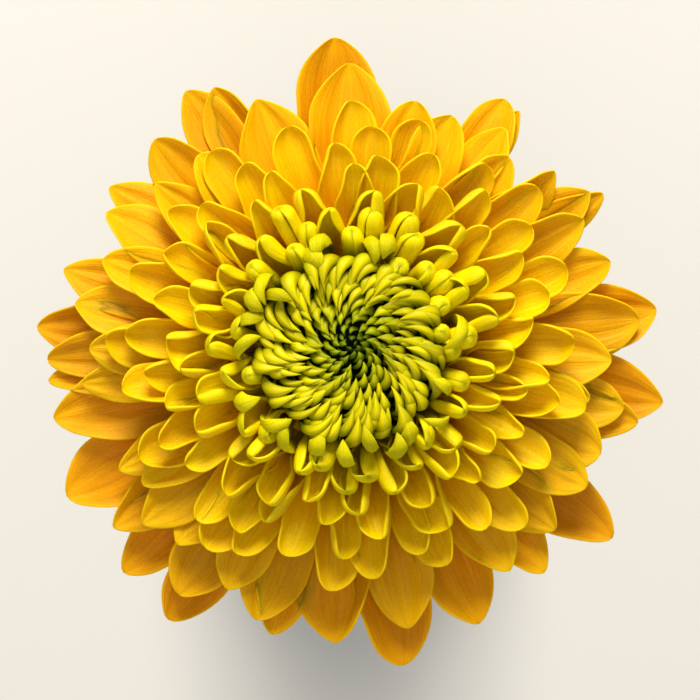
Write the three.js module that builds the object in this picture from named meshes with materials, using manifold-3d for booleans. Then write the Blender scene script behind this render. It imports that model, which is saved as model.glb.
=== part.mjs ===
// A yellow chrysanthemum, cut and stood in a plain glazed bud vase with water.
// Millimetres, +Z up. The origin is the centre of the vase's flat foot, on the surface it stands on.
import * as THREE from "three";
import { mergeVertices } from "three/addons/utils/BufferGeometryUtils.js";
import Module from "manifold-3d";

const wasm = await Module();
wasm.setup();

const { lerp, degToRad, smoothstep } = THREE.MathUtils;

// Driving dimensions

// Bud vase: a flat foot, a round belly and a narrow neck that flares to the lip.
const VASE = {
  height: 126,
  footRadius: 23,
  footChamfer: 1.3,
  bellyRadius: 33,
  bellyHeight: 44,
  neckRadius: 12,
  neckHeight: 104,
  lipRadius: 15,
  lipRounding: 1,
  wall: 3.2,
  floor: 6,
  sides: 22,
  outerSteps: 10,
  innerSteps: 8,
};
const WATER_LEVEL = 82;

// Between neighbours that touch in the real thing.
const GAP = 0.3;

// The stem stands on the vase's floor, leans on the neck and bends back upright under the bloom.
const STEM = {
  radius: 2.4,
  sides: 8,
  steps: 18,
  path: [
    [-10, -3, VASE.floor + 0.5],
    [-3.6, -1.2, 52],
    [5.3, 1.2, VASE.neckHeight],
    [6.9, 1.5, VASE.height + 4],
    [5.2, 1.2, 152],
    [1.6, 0.4, 178],
    [0, 0, 196],
  ],
};

// Four leaves up the stem: height and direction on the stem, length and breadth.
const LEAVES = [
  { height: 137, azimuth: 205, length: 57, breadth: 31 },
  { height: 151, azimuth: 338, length: 48, breadth: 28 },
  { height: 164, azimuth: 92, length: 46, breadth: 26 },
  { height: 177, azimuth: 232, length: 37, breadth: 20 },
];
const LEAF = {
  edge: 0.6,
  thickness: 1.2,
  cup: 0.1,
  // How far the tip stands out from the stem and rises, as shares of the length.
  tip: [0.8, 0.34],
  leaving: 62,
  arriving: -14,
  // Share of the length from the stem, and share of the breadth: petiole, two pairs of lobes, tip lobe.
  outline: [
    [0, 0.09], [0.17, 0.08], [0.22, 0.42], [0.29, 0.66], [0.35, 0.36], [0.43, 0.56],
    [0.53, 1], [0.6, 0.46], [0.68, 0.52], [0.77, 0.78], [0.85, 0.46], [0.93, 0.36],
  ],
};

// The bloom faces straight up. Its own heights count from the underside of the receptacle.
const BLOOM = { base: 205, domeHeight: 33, domeReach: 64 };

// Ray florets that follow the spiral, counted outwards. Reach is from the bloom's axis to the tip.
const GOLDEN_ANGLE = degToRad(137.508);
const SPIRAL = {
  count: 144,
  spoons: 67,
  innerReach: 19.8,
  outerReach: 47,
  growth: 1.2,
  turn: degToRad(8),
  innerWidth: 3.1,
  widening: 0.235,
  unevenTurn: degToRad(2),
  unevenReach: 0.5,
};

// The outermost petals: direction in degrees anticlockwise from +X, reach and breadth.
const OUTER_PETALS = [
  [7.5, 58.5, 12], [6, 55, 11], [19, 52, 9.5], [30.5, 50.3, 9], [31.8, 56.3, 7],
  [33.6, 54.3, 9], [40.8, 51.2, 9], [51, 47, 9.5], [54.6, 55.5, 5.5], [54.5, 51, 8.5],
  [57.8, 55.7, 9.5], [66.4, 48, 9.5], [75.2, 48.3, 9.5], [88, 54, 14.5], [95, 59.3, 14],
  [110.5, 50.5, 12.5], [117.2, 56, 9.5], [121.8, 58, 8], [132.7, 54.3, 10.5], [146, 55, 9.5],
  [151, 52.8, 9.5], [160, 49.6, 9], [164.4, 56.2, 9.5], [170.6, 52.6, 9], [175.8, 59.7, 9.5],
  [181.5, 57.3, 8], [186, 57.5, 7], [194, 57.5, 11.5], [206, 60.6, 11.5], [217, 56, 10.5],
  [224.5, 60.4, 10.5], [235, 56.4, 10.5], [237, 61.9, 10], [243, 50.6, 9], [253, 53.6, 10],
  [254.5, 55.9, 11], [267.6, 55.5, 13.5], [279.5, 60.6, 13], [282, 53.8, 11.5], [296.3, 57.4, 11.5],
  [306, 51.4, 10], [311, 56, 10.5], [321, 51, 9.5], [324.5, 61.4, 12], [330, 51.5, 9.5],
  [337.5, 51.2, 11], [346, 56.2, 9.5], [349.6, 60.3, 11.5], [348, 52.9, 10], [357.6, 49.2, 10],
];

// The two kinds of ray floret. A pair holds the values at the inner and the outer edge of the whorl.
// Slopes are in degrees; outline holds [share of the length, share of the width]; sunk is the tip's
// depth under the dome.
const SPOON = {
  rootRadius: [17.2, 16],
  rootHeight: [15, 12.6],
  leaving: [86, 52],
  arriving: [64, 30],
  sunk: [0, 0],
  outline: [[0, 0.3], [0.45, 0.42], [0.76, 1], [0.94, 0.74]],
  cup: [0.22, 0.22],
  thickness: 1,
  roll: degToRad(8),
};
const PETAL = {
  rootRadius: [19, 16],
  rootHeight: [9.8, 4.2],
  leaving: [44, 10],
  arriving: [26, -4],
  sunk: [2.4, 0],
  outline: [[0, 0.16], [0.6, 0.98], [0.9, 0.76]],
  cup: [0.2, 0.13],
  thickness: 1,
  roll: degToRad(6),
};

// Florets of the green centre, from its middle to its rim. A floret rises from its root, bulges
// outwards and arches back in; the spine's points are [outwards from the root, up from the floor].
const CENTRE = {
  count: 88,
  rootRadius: 14.6,
  floor: [19.6, 24.4],
  sink: 0.9,
  bulge: [[0, 3], [3.2, 4.5]],
  crown: [[0, 4.5], [5.6, 9]],
  tip: [[0, 5], [-2.6, 9.2]],
  unevenTip: 0.4,
  width: [1.5, 3],
  thickness: [0.7, 1.1],
  swirl: [degToRad(26), degToRad(13)],
  outline: [[0, 0.3], [0.5, 0.9], [0.82, 0.8]],
};

// Profiles are [radius, height] from the axis outwards.
// What the whorls and the centre grow from, each hidden among its florets.
const PETAL_CORE = [
  [0, 0], [9.5, 0], [15, 2.2], [20.5, 6.4], [22.6, 11.6], [21, 13], [18.6, 10.6], [0, 10.6],
];
const SPOON_CORE = [[0, 11.2], [18.4, 11.2], [18.4, 14.4], [16.8, 16.7], [0, 16.7]];
const CENTRE_CORE = [
  [0, 17.3], [14.2, 17.3], [15.6, 21], [15.4, 25.2], [11.4, 23.4], [5.6, 20.8], [0, 19.8],
];
// The surfaces that keep spoons from petals, and the centre from spoons.
const UNDER_SPOONS = [[0, 10.9], [18.9, 10.9], [22.6, 14.8], [27, 19.6], [32.6, 23.4], [40, 27]];
const ROUND_CENTRE = [[0, 17], [16, 17], [19.6, 34.7]];
const CORE_SIDES = 24;

// The green cup under the bloom, and its two rows of bracts. Spine points are [radius, height].
const INVOLUCRE = {
  cup: [[0, -9 + GAP], [3, -9 + GAP], [5.6, -6.8], [9, -3.4], [10.4, -GAP], [0, -GAP]],
  perRow: 10,
  rows: [
    { root: [4.4, -6.9], tip: [13.6, -1.1], leaving: 48, arriving: 20, width: 6.2, turn: 0 },
    { root: [2.6, -8], tip: [10.2, -4.2], leaving: 34, arriving: 40, width: 5.2, turn: 0.5 },
  ],
  outline: [[0, 0.7], [0.5, 1], [0.84, 0.62]],
  cupping: 0.1,
  thickness: 0.9,
};

// Solids

// A closed geometry as a solid that can be joined and cut.
function solidOf(geometry) {
  const bare = new THREE.BufferGeometry().setAttribute("position", geometry.getAttribute("position"));
  bare.setIndex(geometry.index);
  const merged = mergeVertices(bare, 1e-4);
  return new wasm.Manifold(
    new wasm.Mesh({
      numProp: 3,
      vertProperties: merged.attributes.position.array,
      triVerts: new Uint32Array(merged.index.array),
    }),
  );
}

function geometryOf(solid) {
  const mesh = solid.getMesh();
  const geometry = new THREE.BufferGeometry();
  geometry.setAttribute("position", new THREE.BufferAttribute(mesh.vertProperties, 3));
  geometry.setIndex(new THREE.BufferAttribute(mesh.triVerts, 1));
  geometry.computeVertexNormals();
  return geometry;
}

// Joins solids into one body: hollows that the join seals are filled and loose scraps dropped.
function fuse(solids) {
  return largestBody(solids.reduce((sum, solid) => sum.add(solid)));
}

function largestBody(solid) {
  return solid.decompose().reduce((best, body) => (body.volume() > best.volume() ? body : best));
}

// A solid of revolution about Z from a profile that starts and ends on the axis.
function turned(profile, sides) {
  const outline = profile.map(([radius, height]) => new THREE.Vector2(radius, height));
  return new THREE.LatheGeometry(outline, sides).rotateX(Math.PI / 2);
}

// A closed skin through rings of points. Its ends close on the points start and end.
function loft(rings, start, end) {
  const sides = rings[0].length;
  const points = [...rings.flat(), start, end];
  const startAt = points.length - 2;
  const endAt = points.length - 1;
  const lastRing = (rings.length - 1) * sides;
  const faces = [];
  for (let side = 0; side < sides; side++) {
    const next = (side + 1) % sides;
    // Each diagonal runs from a blade's edge to its middle, alike on both faces.
    const turnedDiagonal = (side + 1) % (sides / 2) === 0;
    for (let ring = 0; ring < lastRing; ring += sides) {
      const [a, b, c, d] = [ring + side, ring + next, ring + sides + next, ring + sides + side];
      faces.push(...(turnedDiagonal ? [a, b, d, b, c, d] : [a, b, c, a, c, d]));
    }
    faces.push(startAt, next, side, endAt, lastRing + side, lastRing + next);
  }
  const positions = points.flatMap((point) => point.toArray());
  const geometry = new THREE.BufferGeometry();
  geometry.setAttribute("position", new THREE.Float32BufferAttribute(positions, 3));
  geometry.setIndex(faces);
  return geometry;
}

// Sections across a blade, as [sideways, upwards] pairs that run anticlockwise.
const SECTIONS = {
  // A cupped blade with sharp edges.
  floret: (half, cup, thick) => [[half, cup], [0, thick / 2], [-half, cup], [0, -thick / 2]],
  // A narrow floret of the centre, flat inside with a keel on its back.
  sliver: (half, cup, thick) => [[half, cup], [-half, cup], [0, cup - thick]],
  // A leaf, with an edge of its own thickness.
  leaf: (half, cup, thick) => [
    [half, cup - LEAF.edge / 2], [half, cup + LEAF.edge / 2], [0, thick / 2],
    [-half, cup + LEAF.edge / 2], [-half, cup - LEAF.edge / 2], [0, -thick / 2],
  ],
};

// A thin blade along a spine in the plane of (outward, up), then turned round Z to its azimuth.
// The edges rise by cup times the width; swirl turns the tip further round Z than the root.
function blade({ spine, azimuth, outline, width, cup, thickness, section, roll = 0, swirl = 0 }) {
  const up = new THREE.Vector3(0, 0, 1);
  const place = (share, sideways, upwards) => {
    const middle = spine.getPoint(share);
    const along = spine.getTangent(share);
    const across = sideways * Math.cos(roll) - upwards * Math.sin(roll);
    const lift = sideways * Math.sin(roll) + upwards * Math.cos(roll);
    const point = new THREE.Vector3(middle.x - along.y * lift, across, middle.y + along.x * lift);
    return point.applyAxisAngle(up, azimuth + swirl * share * share);
  };
  const rings = outline.map(([share, breadth]) => {
    const ring = section((width * breadth) / 2, width * breadth * cup, thickness);
    return ring.map(([sideways, upwards]) => place(share, sideways, upwards));
  });
  return solidOf(loft(rings, place(outline[0][0], 0, 0), place(1, 0, 0)));
}

// How far a spine keeps the slope it leaves and arrives with, as shares of its chord.
const ARMS = { leaving: 0.42, arriving: 0.36 };

// A spine from root to tip, both [outward, up], that leaves and arrives at the given slopes in degrees.
function spineOf(root, tip, leaving, arriving) {
  const from = new THREE.Vector2(...root);
  const to = new THREE.Vector2(...tip);
  const chord = from.distanceTo(to);
  const arm = (slope, length) =>
    new THREE.Vector2(Math.cos(degToRad(slope)), Math.sin(degToRad(slope))).multiplyScalar(length);
  const afterRoot = from.clone().add(arm(leaving, chord * ARMS.leaving));
  const beforeTip = to.clone().sub(arm(arriving, chord * ARMS.arriving));
  return new THREE.CubicBezierCurve(from, afterRoot, beforeTip, to);
}

// A repeatable number from -1 to 1 for a floret: its own small departure from the rule.
function wobble(index, channel) {
  const wave = Math.sin(index * 12.9898 + channel * 78.233) * 43758.5453;
  return 2 * (wave - Math.floor(wave)) - 1;
}

// The bloom

// Height of the dome of floret tips at a reach from the axis.
function domeHeight(reach) {
  return BLOOM.domeHeight * (1 - (reach / BLOOM.domeReach) ** 2);
}

// Reach of a spiral floret, which grows with its number.
function spiralReach(number) {
  return lerp(SPIRAL.innerReach, SPIRAL.outerReach, (number / (SPIRAL.count - 1)) ** SPIRAL.growth);
}

const spiralFlorets = Array.from({ length: SPIRAL.count }, (_, number) => ({
  number,
  azimuth: number * GOLDEN_ANGLE + SPIRAL.turn + SPIRAL.unevenTurn * wobble(number, 1),
  reach: spiralReach(number) + SPIRAL.unevenReach * wobble(number, 2),
  width: SPIRAL.innerWidth + (spiralReach(number) - SPIRAL.innerReach) * SPIRAL.widening,
}));
const outerPetals = OUTER_PETALS.map(([azimuth, reach, width], number) => ({
  number: SPIRAL.count + number,
  azimuth: degToRad(azimuth),
  reach,
  width,
}));
const spoonReach = spiralReach(SPIRAL.spoons);
const longestReach = Math.max(...OUTER_PETALS.map(([, reach]) => reach));

// A ray floret: a claw that widens into a cupped blade. share is its place from the whorl's inner edge
// to its outer edge.
function rayFloret(kind, share, { number, azimuth, reach, width }) {
  const at = ([inner, outer]) => lerp(inner, outer, share);
  const root = [at(kind.rootRadius), at(kind.rootHeight)];
  const tip = [reach, domeHeight(reach) - at(kind.sunk)];
  return blade({
    spine: spineOf(root, tip, at(kind.leaving), at(kind.arriving)),
    azimuth,
    outline: kind.outline,
    width,
    cup: at(kind.cup),
    thickness: kind.thickness,
    roll: kind.roll * wobble(number, 3),
    section: SECTIONS.floret,
  });
}

// An inner ray floret, narrow and spoon-shaped.
function spoonFloret(floret) {
  const share = (floret.reach - SPIRAL.innerReach) / (spoonReach - SPIRAL.innerReach);
  return rayFloret(SPOON, share, floret);
}

// An outer ray floret, broad and shallow.
function petalFloret(floret) {
  const share = Math.max(0, (floret.reach - spoonReach) / (longestReach - spoonReach));
  return rayFloret(PETAL, share, floret);
}

// A floret of the green centre, which arches inwards over the younger ones and leans round the swirl.
function centreFloret(number) {
  const share = Math.sqrt((number + 0.5) / CENTRE.count);
  const at = ([middle, rim]) => lerp(middle, rim, share);
  const root = CENTRE.rootRadius * share;
  const floor = lerp(CENTRE.floor[0], CENTRE.floor[1], share ** 2);
  const point = ([[outA, upA], [outB, upB]]) =>
    new THREE.Vector2(root + lerp(outA, outB, share), floor + lerp(upA, upB, share));
  const tip = point(CENTRE.tip);
  tip.y += CENTRE.unevenTip * wobble(number, 2);
  return blade({
    spine: new THREE.CubicBezierCurve(
      new THREE.Vector2(root, floor - CENTRE.sink),
      point(CENTRE.bulge),
      point(CENTRE.crown),
      tip,
    ),
    azimuth: -number * GOLDEN_ANGLE,
    outline: CENTRE.outline,
    width: at(CENTRE.width),
    cup: 0,
    thickness: at(CENTRE.thickness),
    swirl: at(CENTRE.swirl),
    section: SECTIONS.sliver,
  });
}

// Everything above a profile, as a solid, raised and narrowed by a clearance.
function spaceAbove(profile, clearance) {
  const ceiling = 60;
  const moved = profile.map(([radius, height], i) => [i ? radius - clearance : 0, height + clearance]);
  return solidOf(turned([...moved, [moved.at(-1)[0], ceiling], [0, ceiling]], 2 * CORE_SIDES));
}

function outerRayFlorets() {
  const core = solidOf(turned(PETAL_CORE, CORE_SIDES));
  const petals = [...spiralFlorets.slice(SPIRAL.spoons), ...outerPetals].map(petalFloret);
  return largestBody(fuse([core, ...petals]).subtract(spaceAbove(UNDER_SPOONS, 0)));
}

function innerRayFlorets() {
  const core = solidOf(turned(SPOON_CORE, CORE_SIDES));
  const spoons = spiralFlorets.slice(0, SPIRAL.spoons).map(spoonFloret);
  const held = fuse([core, ...spoons]).intersect(spaceAbove(UNDER_SPOONS, GAP));
  return largestBody(held.subtract(spaceAbove(ROUND_CENTRE, 0)));
}

function centreFlorets() {
  const core = solidOf(turned(CENTRE_CORE, CORE_SIDES));
  const florets = Array.from({ length: CENTRE.count }, (_, number) => centreFloret(number));
  return largestBody(fuse([core, ...florets]).intersect(spaceAbove(ROUND_CENTRE, GAP)));
}

// The green cup under the bloom, with its bracts laid against it.
function involucre() {
  const { cup, perRow, rows, outline, cupping, thickness } = INVOLUCRE;
  const bracts = rows.flatMap(({ root, tip, leaving, arriving, width, turn }) =>
    Array.from({ length: perRow }, (_, number) =>
      blade({
        spine: spineOf(root, tip, leaving, arriving),
        azimuth: ((number + turn) / perRow) * 2 * Math.PI,
        outline,
        width,
        cup: cupping,
        thickness,
        section: SECTIONS.floret,
      }),
    ),
  );
  return fuse([solidOf(turned(cup, 2 * perRow)), ...bracts]);
}

// Stem and leaves

const stemPath = new THREE.CatmullRomCurve3(STEM.path.map((point) => new THREE.Vector3(...point)));

function stemTube(radius) {
  const section = new THREE.Shape().absarc(0, 0, radius, 0, 2 * Math.PI);
  return new THREE.ExtrudeGeometry(section, {
    steps: STEM.steps,
    curveSegments: STEM.sides / 2,
    extrudePath: stemPath,
    bevelEnabled: false,
  });
}

// The hole that the stem needs in whatever surrounds it.
function stemHole() {
  return solidOf(stemTube(STEM.radius + GAP));
}

// The point of the stem's centre line at a height, found by halving.
function stemAt(height) {
  const halvings = 30;
  let [low, high] = [0, 1];
  for (let step = 0; step < halvings; step++) {
    const middle = (low + high) / 2;
    if (stemPath.getPoint(middle).z < height) low = middle;
    else high = middle;
  }
  return stemPath.getPoint(low);
}

// A lobed leaf that rises from the stem on its petiole and arches over.
function leaf({ height, azimuth, length, breadth }) {
  const start = STEM.radius / 2;
  const tip = [start + LEAF.tip[0] * length, LEAF.tip[1] * length];
  const solid = blade({
    spine: spineOf([start, 0], tip, LEAF.leaving, LEAF.arriving),
    azimuth: degToRad(azimuth),
    outline: LEAF.outline,
    width: breadth,
    cup: LEAF.cup,
    thickness: LEAF.thickness,
    section: SECTIONS.leaf,
  });
  const { x, y } = stemAt(height);
  return geometryOf(largestBody(solid.translate([x, y, height]).subtract(stemHole())));
}

// Vase and water

// Outer radius of the vase at a height: a quarter wave to the belly, an S to the neck, a curl to the lip.
function vaseRadius(height) {
  const { footRadius, bellyRadius, bellyHeight, neckRadius, neckHeight, lipRadius } = VASE;
  if (height < bellyHeight) {
    return lerp(footRadius, bellyRadius, Math.sin((Math.PI / 2) * (height / bellyHeight)));
  }
  if (height < neckHeight) {
    return lerp(bellyRadius, neckRadius, smoothstep(height, bellyHeight, neckHeight));
  }
  return lerp(neckRadius, lipRadius, ((height - neckHeight) / (VASE.height - neckHeight)) ** 2);
}

// The vase's side from a height up to the rounding of the lip, set in from its outer face.
function vaseSide(bottom, steps, inset) {
  const top = VASE.height - VASE.lipRounding;
  return Array.from({ length: steps + 1 }, (_, step) => {
    const height = lerp(bottom, top, step / steps);
    return [vaseRadius(height) - inset, height];
  });
}

function vase() {
  const foot = [VASE.footRadius - VASE.footChamfer, 0];
  const outside = vaseSide(VASE.footChamfer, VASE.outerSteps, 0);
  const lip = [VASE.lipRadius - VASE.wall / 2, VASE.height];
  const inside = vaseSide(VASE.floor, VASE.innerSteps, VASE.wall).reverse();
  return turned([[0, 0], foot, ...outside, lip, ...inside, [0, VASE.floor]], VASE.sides);
}

// Water up to its level, with a hole where the stem stands in it.
function water() {
  const side = vaseSide(VASE.floor, VASE.innerSteps, VASE.wall + GAP);
  const column = solidOf(turned([[0, VASE.floor], ...side, [0, side.at(-1)[1]]], VASE.sides));
  const filled = column.trimByPlane([0, 0, -1], -WATER_LEVEL).trimByPlane([0, 0, 1], VASE.floor + GAP);
  return geometryOf(largestBody(filled.subtract(stemHole())));
}

// The assembly

function finish(colour, roughness) {
  return new THREE.MeshStandardMaterial({ color: colour, roughness, metalness: 0 });
}

const FINISHES = {
  goldenPetal: finish(0xf7ae08, 0.55),
  lemonPetal: finish(0xdcc908, 0.55),
  limePetal: finish(0xaeb80c, 0.6),
  leafGreen: finish(0x4b6b2a, 0.6),
  bractGreen: finish(0x6f8a3c, 0.65),
  stemGreen: finish(0x7a9448, 0.6),
  glaze: finish(0x2f3a40, 0.25),
  water: Object.assign(finish(0xdfeef0, 0.05), { transparent: true, opacity: 0.4 }),
};

function piece(name, geometry, material) {
  const mesh = new THREE.Mesh(geometry, material);
  mesh.name = name;
  return mesh;
}

const bloom = new THREE.Group();
bloom.position.z = BLOOM.base;
bloom.add(
  piece("outer_ray_florets", geometryOf(outerRayFlorets()), FINISHES.goldenPetal),
  piece("inner_ray_florets", geometryOf(innerRayFlorets()), FINISHES.lemonPetal),
  piece("centre_florets", geometryOf(centreFlorets()), FINISHES.limePetal),
  piece("involucre", geometryOf(involucre()), FINISHES.bractGreen),
);

const flowerInVase = new THREE.Group();
flowerInVase.add(
  piece("vase", vase(), FINISHES.glaze),
  piece("water", water(), FINISHES.water),
  piece("stem", stemTube(STEM.radius), FINISHES.stemGreen),
  ...LEAVES.map((size, i) => piece(`leaf_${i + 1}`, leaf(size), FINISHES.leafGreen)),
  bloom,
);

export default flowerInVase;
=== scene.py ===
"""A yellow chrysanthemum in a glazed bud vase: the looks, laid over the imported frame.

The bloom is a dome of ray florets round a bowl of young ones. Every piece is a surface worked out in
millimetres as whole arrays and handed to Blender in metres, in the frame's own place.
"""

import logging
import math
from collections.abc import Mapping, Sequence
from dataclasses import dataclass, replace
from enum import Enum, IntEnum
from typing import Any, ClassVar

import bpy
import numpy as np
from numpy.typing import NDArray
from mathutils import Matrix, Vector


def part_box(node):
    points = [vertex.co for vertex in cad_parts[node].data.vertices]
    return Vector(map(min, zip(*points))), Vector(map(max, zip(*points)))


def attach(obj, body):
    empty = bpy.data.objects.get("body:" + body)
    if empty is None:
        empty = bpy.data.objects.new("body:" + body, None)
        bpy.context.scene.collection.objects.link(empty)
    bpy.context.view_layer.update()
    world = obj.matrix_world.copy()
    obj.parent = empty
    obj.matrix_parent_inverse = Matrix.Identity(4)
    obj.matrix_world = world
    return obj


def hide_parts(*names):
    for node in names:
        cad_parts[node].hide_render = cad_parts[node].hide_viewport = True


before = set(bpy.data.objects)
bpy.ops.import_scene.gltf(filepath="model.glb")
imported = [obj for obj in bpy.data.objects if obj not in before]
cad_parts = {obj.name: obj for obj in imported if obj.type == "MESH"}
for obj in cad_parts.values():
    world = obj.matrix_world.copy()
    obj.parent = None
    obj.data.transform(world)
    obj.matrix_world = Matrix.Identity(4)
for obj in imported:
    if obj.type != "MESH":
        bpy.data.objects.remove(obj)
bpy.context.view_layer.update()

Array = NDArray[np.float64]
Point = tuple[float, float]
Stops = Sequence[tuple[float, str]]

log = logging.getLogger("chrysanthemum")

MM = 0.001
PHOTO_SIDE = 700

# The gap between neighbours that touch, and the height of the receptacle's underside, in mm.
GAP = 0.3
BLOOM_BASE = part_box("involucre")[1].z / MM + GAP


# Numbers and curves


def mix(low: Any, high: Any, share: Any) -> Any:
    """Straight-line blend from low at share 0 to high at share 1."""
    return low + (high - low) * share


def smoothstep(low: float, high: float, value: Any) -> Any:
    """Cubic step 3t² - 2t³ that rises from 0 at low to 1 at high."""
    share = np.clip((value - low) / (high - low), 0.0, 1.0)
    return share * share * (3.0 - 2.0 * share)


def wobble(index: float, channel: float) -> float:
    """A repeatable number from -1 to 1: the fraction of a very steep sine of the index.

    Args:
        index: the floret's number.
        channel: which of its departures from the rule is meant.

    Returns:
        The same number each time for the same arguments.
    """
    wave = math.sin(index * 12.9898 + channel * 78.233) * 43758.5453
    return 2.0 * (wave - math.floor(wave)) - 1.0


def unit(vectors: Array) -> Array:
    """Vectors of the last axis, each scaled to length 1."""
    return vectors / np.linalg.norm(vectors, axis=-1, keepdims=True)


@dataclass(frozen=True)
class Spine:
    """A cubic Bezier curve in the plane of (outward, up), in mm.

    Attributes:
        controls: its four control points.
    """

    controls: tuple[Point, Point, Point, Point]

    # How far along its end's slope each inner control point lies, as a share of the chord.
    AFTER_ROOT: ClassVar[float] = 0.42
    BEFORE_TIP: ClassVar[float] = 0.36

    @classmethod
    def between(cls, root: Point, tip: Point, leaving: float, arriving: float) -> "Spine":
        """A spine that leaves its root and arrives at its tip at the given slopes.

        The two inner control points lie along those slopes, each at its share of the chord.

        Args:
            root: where it starts.
            tip: where it ends.
            leaving: slope at the root, in degrees above outward.
            arriving: slope at the tip, in degrees above outward.

        Returns:
            The spine.
        """
        chord = math.dist(root, tip)
        away, home = math.radians(leaving), math.radians(arriving)
        first, last = cls.AFTER_ROOT * chord, cls.BEFORE_TIP * chord
        after = (root[0] + first * math.cos(away), root[1] + first * math.sin(away))
        before = (tip[0] - last * math.cos(home), tip[1] - last * math.sin(home))
        return cls((root, after, before, tip))

    def trace(self, along: Array) -> tuple[Array, Array]:
        """Points and unit tangents of the curve at shares of its length.

        Args:
            along: n shares from 0 at the root to 1 at the tip.

        Returns:
            Two arrays of n by 2.
        """
        a, b, c, d = (np.array(point, float) for point in self.controls)
        t = along[:, None]
        s = 1.0 - t
        points = a * s**3 + 3.0 * b * s * s * t + 3.0 * c * s * t * t + d * t**3
        slopes = (b - a) * s * s + 2.0 * (c - b) * s * t + (d - c) * t * t
        return points, unit(slopes)


def stem_line(knots: Array, samples: int) -> Array:
    """A centripetal Catmull-Rom curve: each stretch is a cubic through its two knots.

    The slopes at the knots weigh the neighbouring chords by the square roots of their lengths, and
    the first and last chords are repeated past the ends.

    Args:
        knots: k by 3 points that the curve passes.
        samples: how many points are wanted, evenly spread over the stretches.

    Returns:
        samples by 3 points.
    """
    padded = np.vstack([2 * knots[0] - knots[1], knots, 2 * knots[-1] - knots[-2]])
    steps = np.sqrt(np.linalg.norm(np.diff(padded, axis=0), axis=1))[:, None]
    place = np.linspace(0.0, len(knots) - 1.0, samples)
    stretch = np.minimum(place.astype(int), len(knots) - 2)
    t = (place - stretch)[:, None]
    p0, p1, p2, p3 = (padded[stretch + i] for i in range(4))
    d0, d1, d2 = (steps[stretch + i] for i in range(3))
    m1 = d1 * ((p1 - p0) / d0 - (p2 - p0) / (d0 + d1) + (p2 - p1) / d1)
    m2 = d1 * ((p2 - p1) / d1 - (p3 - p1) / (d1 + d2) + (p3 - p2) / d2)
    cubic = 2 * p1 - 2 * p2 + m1 + m2
    square = -3 * p1 + 3 * p2 - 2 * m1 - m2
    return p1 + m1 * t + square * t**2 + cubic * t**3


# Surfaces


@dataclass(frozen=True)
class Surface:
    """A mesh in mm before it goes to Blender.

    Attributes:
        points: n by 3.
        quads: four-cornered faces as point numbers.
        fans: three-cornered faces as point numbers.
        marks: named numbers, one for each point, that the finishes read.
    """

    points: Array
    quads: NDArray[np.int64]
    fans: NDArray[np.int64]
    marks: dict[str, Array]


def joined(surfaces: Sequence[Surface]) -> Surface:
    """Several surfaces as one, with their faces renumbered.

    Args:
        surfaces: the surfaces.

    Returns:
        One surface with the marks that all of them have.
    """
    starts = np.cumsum([0] + [len(surface.points) for surface in surfaces[:-1]])
    return Surface(
        np.vstack([surface.points for surface in surfaces]),
        np.vstack([surface.quads + start for surface, start in zip(surfaces, starts)]),
        np.vstack([surface.fans + start for surface, start in zip(surfaces, starts)]),
        {
            name: np.concatenate([surface.marks[name] for surface in surfaces])
            for name in surfaces[0].marks
            if all(name in surface.marks for surface in surfaces)
        },
    )


def closed_skin(rings: Array, marks: Mapping[str, Array | float]) -> Surface:
    """A closed skin through rings of points, with a fan over each end.

    Point number r·m + k is point k of ring r, and each quad joins two neighbours of a ring to the
    same two of the next. If the enclosed volume comes out negative, every face is turned over.

    Args:
        rings: r rings of m points, as r by m by 3.
        marks: named numbers that broadcast to r by m.

    Returns:
        The skin, with its faces outward.
    """
    count, sides = rings.shape[:2]
    ring, side = np.meshgrid(np.arange(count - 1), np.arange(sides), indexing="ij")
    after = (side + 1) % sides
    near, far = ring * sides, (ring + 1) * sides
    quads = np.stack([near + side, near + after, far + after, far + side], -1).reshape(-1, 4)
    around = np.arange(sides)
    following = (around + 1) % sides
    start, end = count * sides, count * sides + 1
    last = (count - 1) * sides
    root_fan = np.stack([np.full(sides, start), following, around], -1)
    tip_fan = np.stack([np.full(sides, end), last + around, last + following], -1)
    points = np.vstack([rings.reshape(-1, 3), rings[0].mean(0), rings[-1].mean(0)])
    corners = points[quads]
    volume = np.einsum("ij,ij->", corners[:, 0], np.cross(corners[:, 1], corners[:, 2]))
    volume += np.einsum("ij,ij->", corners[:, 0], np.cross(corners[:, 2], corners[:, 3]))
    fans = np.vstack([root_fan, tip_fan])
    tips = points[fans]
    volume += np.einsum("ij,ij->", tips[:, 0], np.cross(tips[:, 1], tips[:, 2]))
    if volume < 0:
        quads, fans = quads[:, ::-1], fans[:, ::-1]
    spread = {}
    for name, values in marks.items():
        full = np.broadcast_to(values, (count, sides))
        spread[name] = np.concatenate([full.ravel(), [full[0].mean(), full[-1].mean()]])
    return Surface(points, quads, fans, spread)


def turned(profile: Sequence[Point], sides: int, marks: Mapping[str, float]) -> Surface:
    """A solid of revolution about Z: each [radius, height] of the profile becomes a ring.

    Args:
        profile: points from one end of the axis to the other, without the two on the axis itself.
        sides: how many points each ring has.
        marks: named numbers, the same all over.

    Returns:
        The closed surface.
    """
    radius, height = np.array(profile, float).T
    turn = np.linspace(0.0, 2.0 * np.pi, sides, endpoint=False)
    rings = np.stack(
        [np.outer(radius, np.cos(turn)), np.outer(radius, np.sin(turn)), np.outer(height, np.ones(sides))],
        -1,
    )
    return closed_skin(rings, marks)


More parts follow.
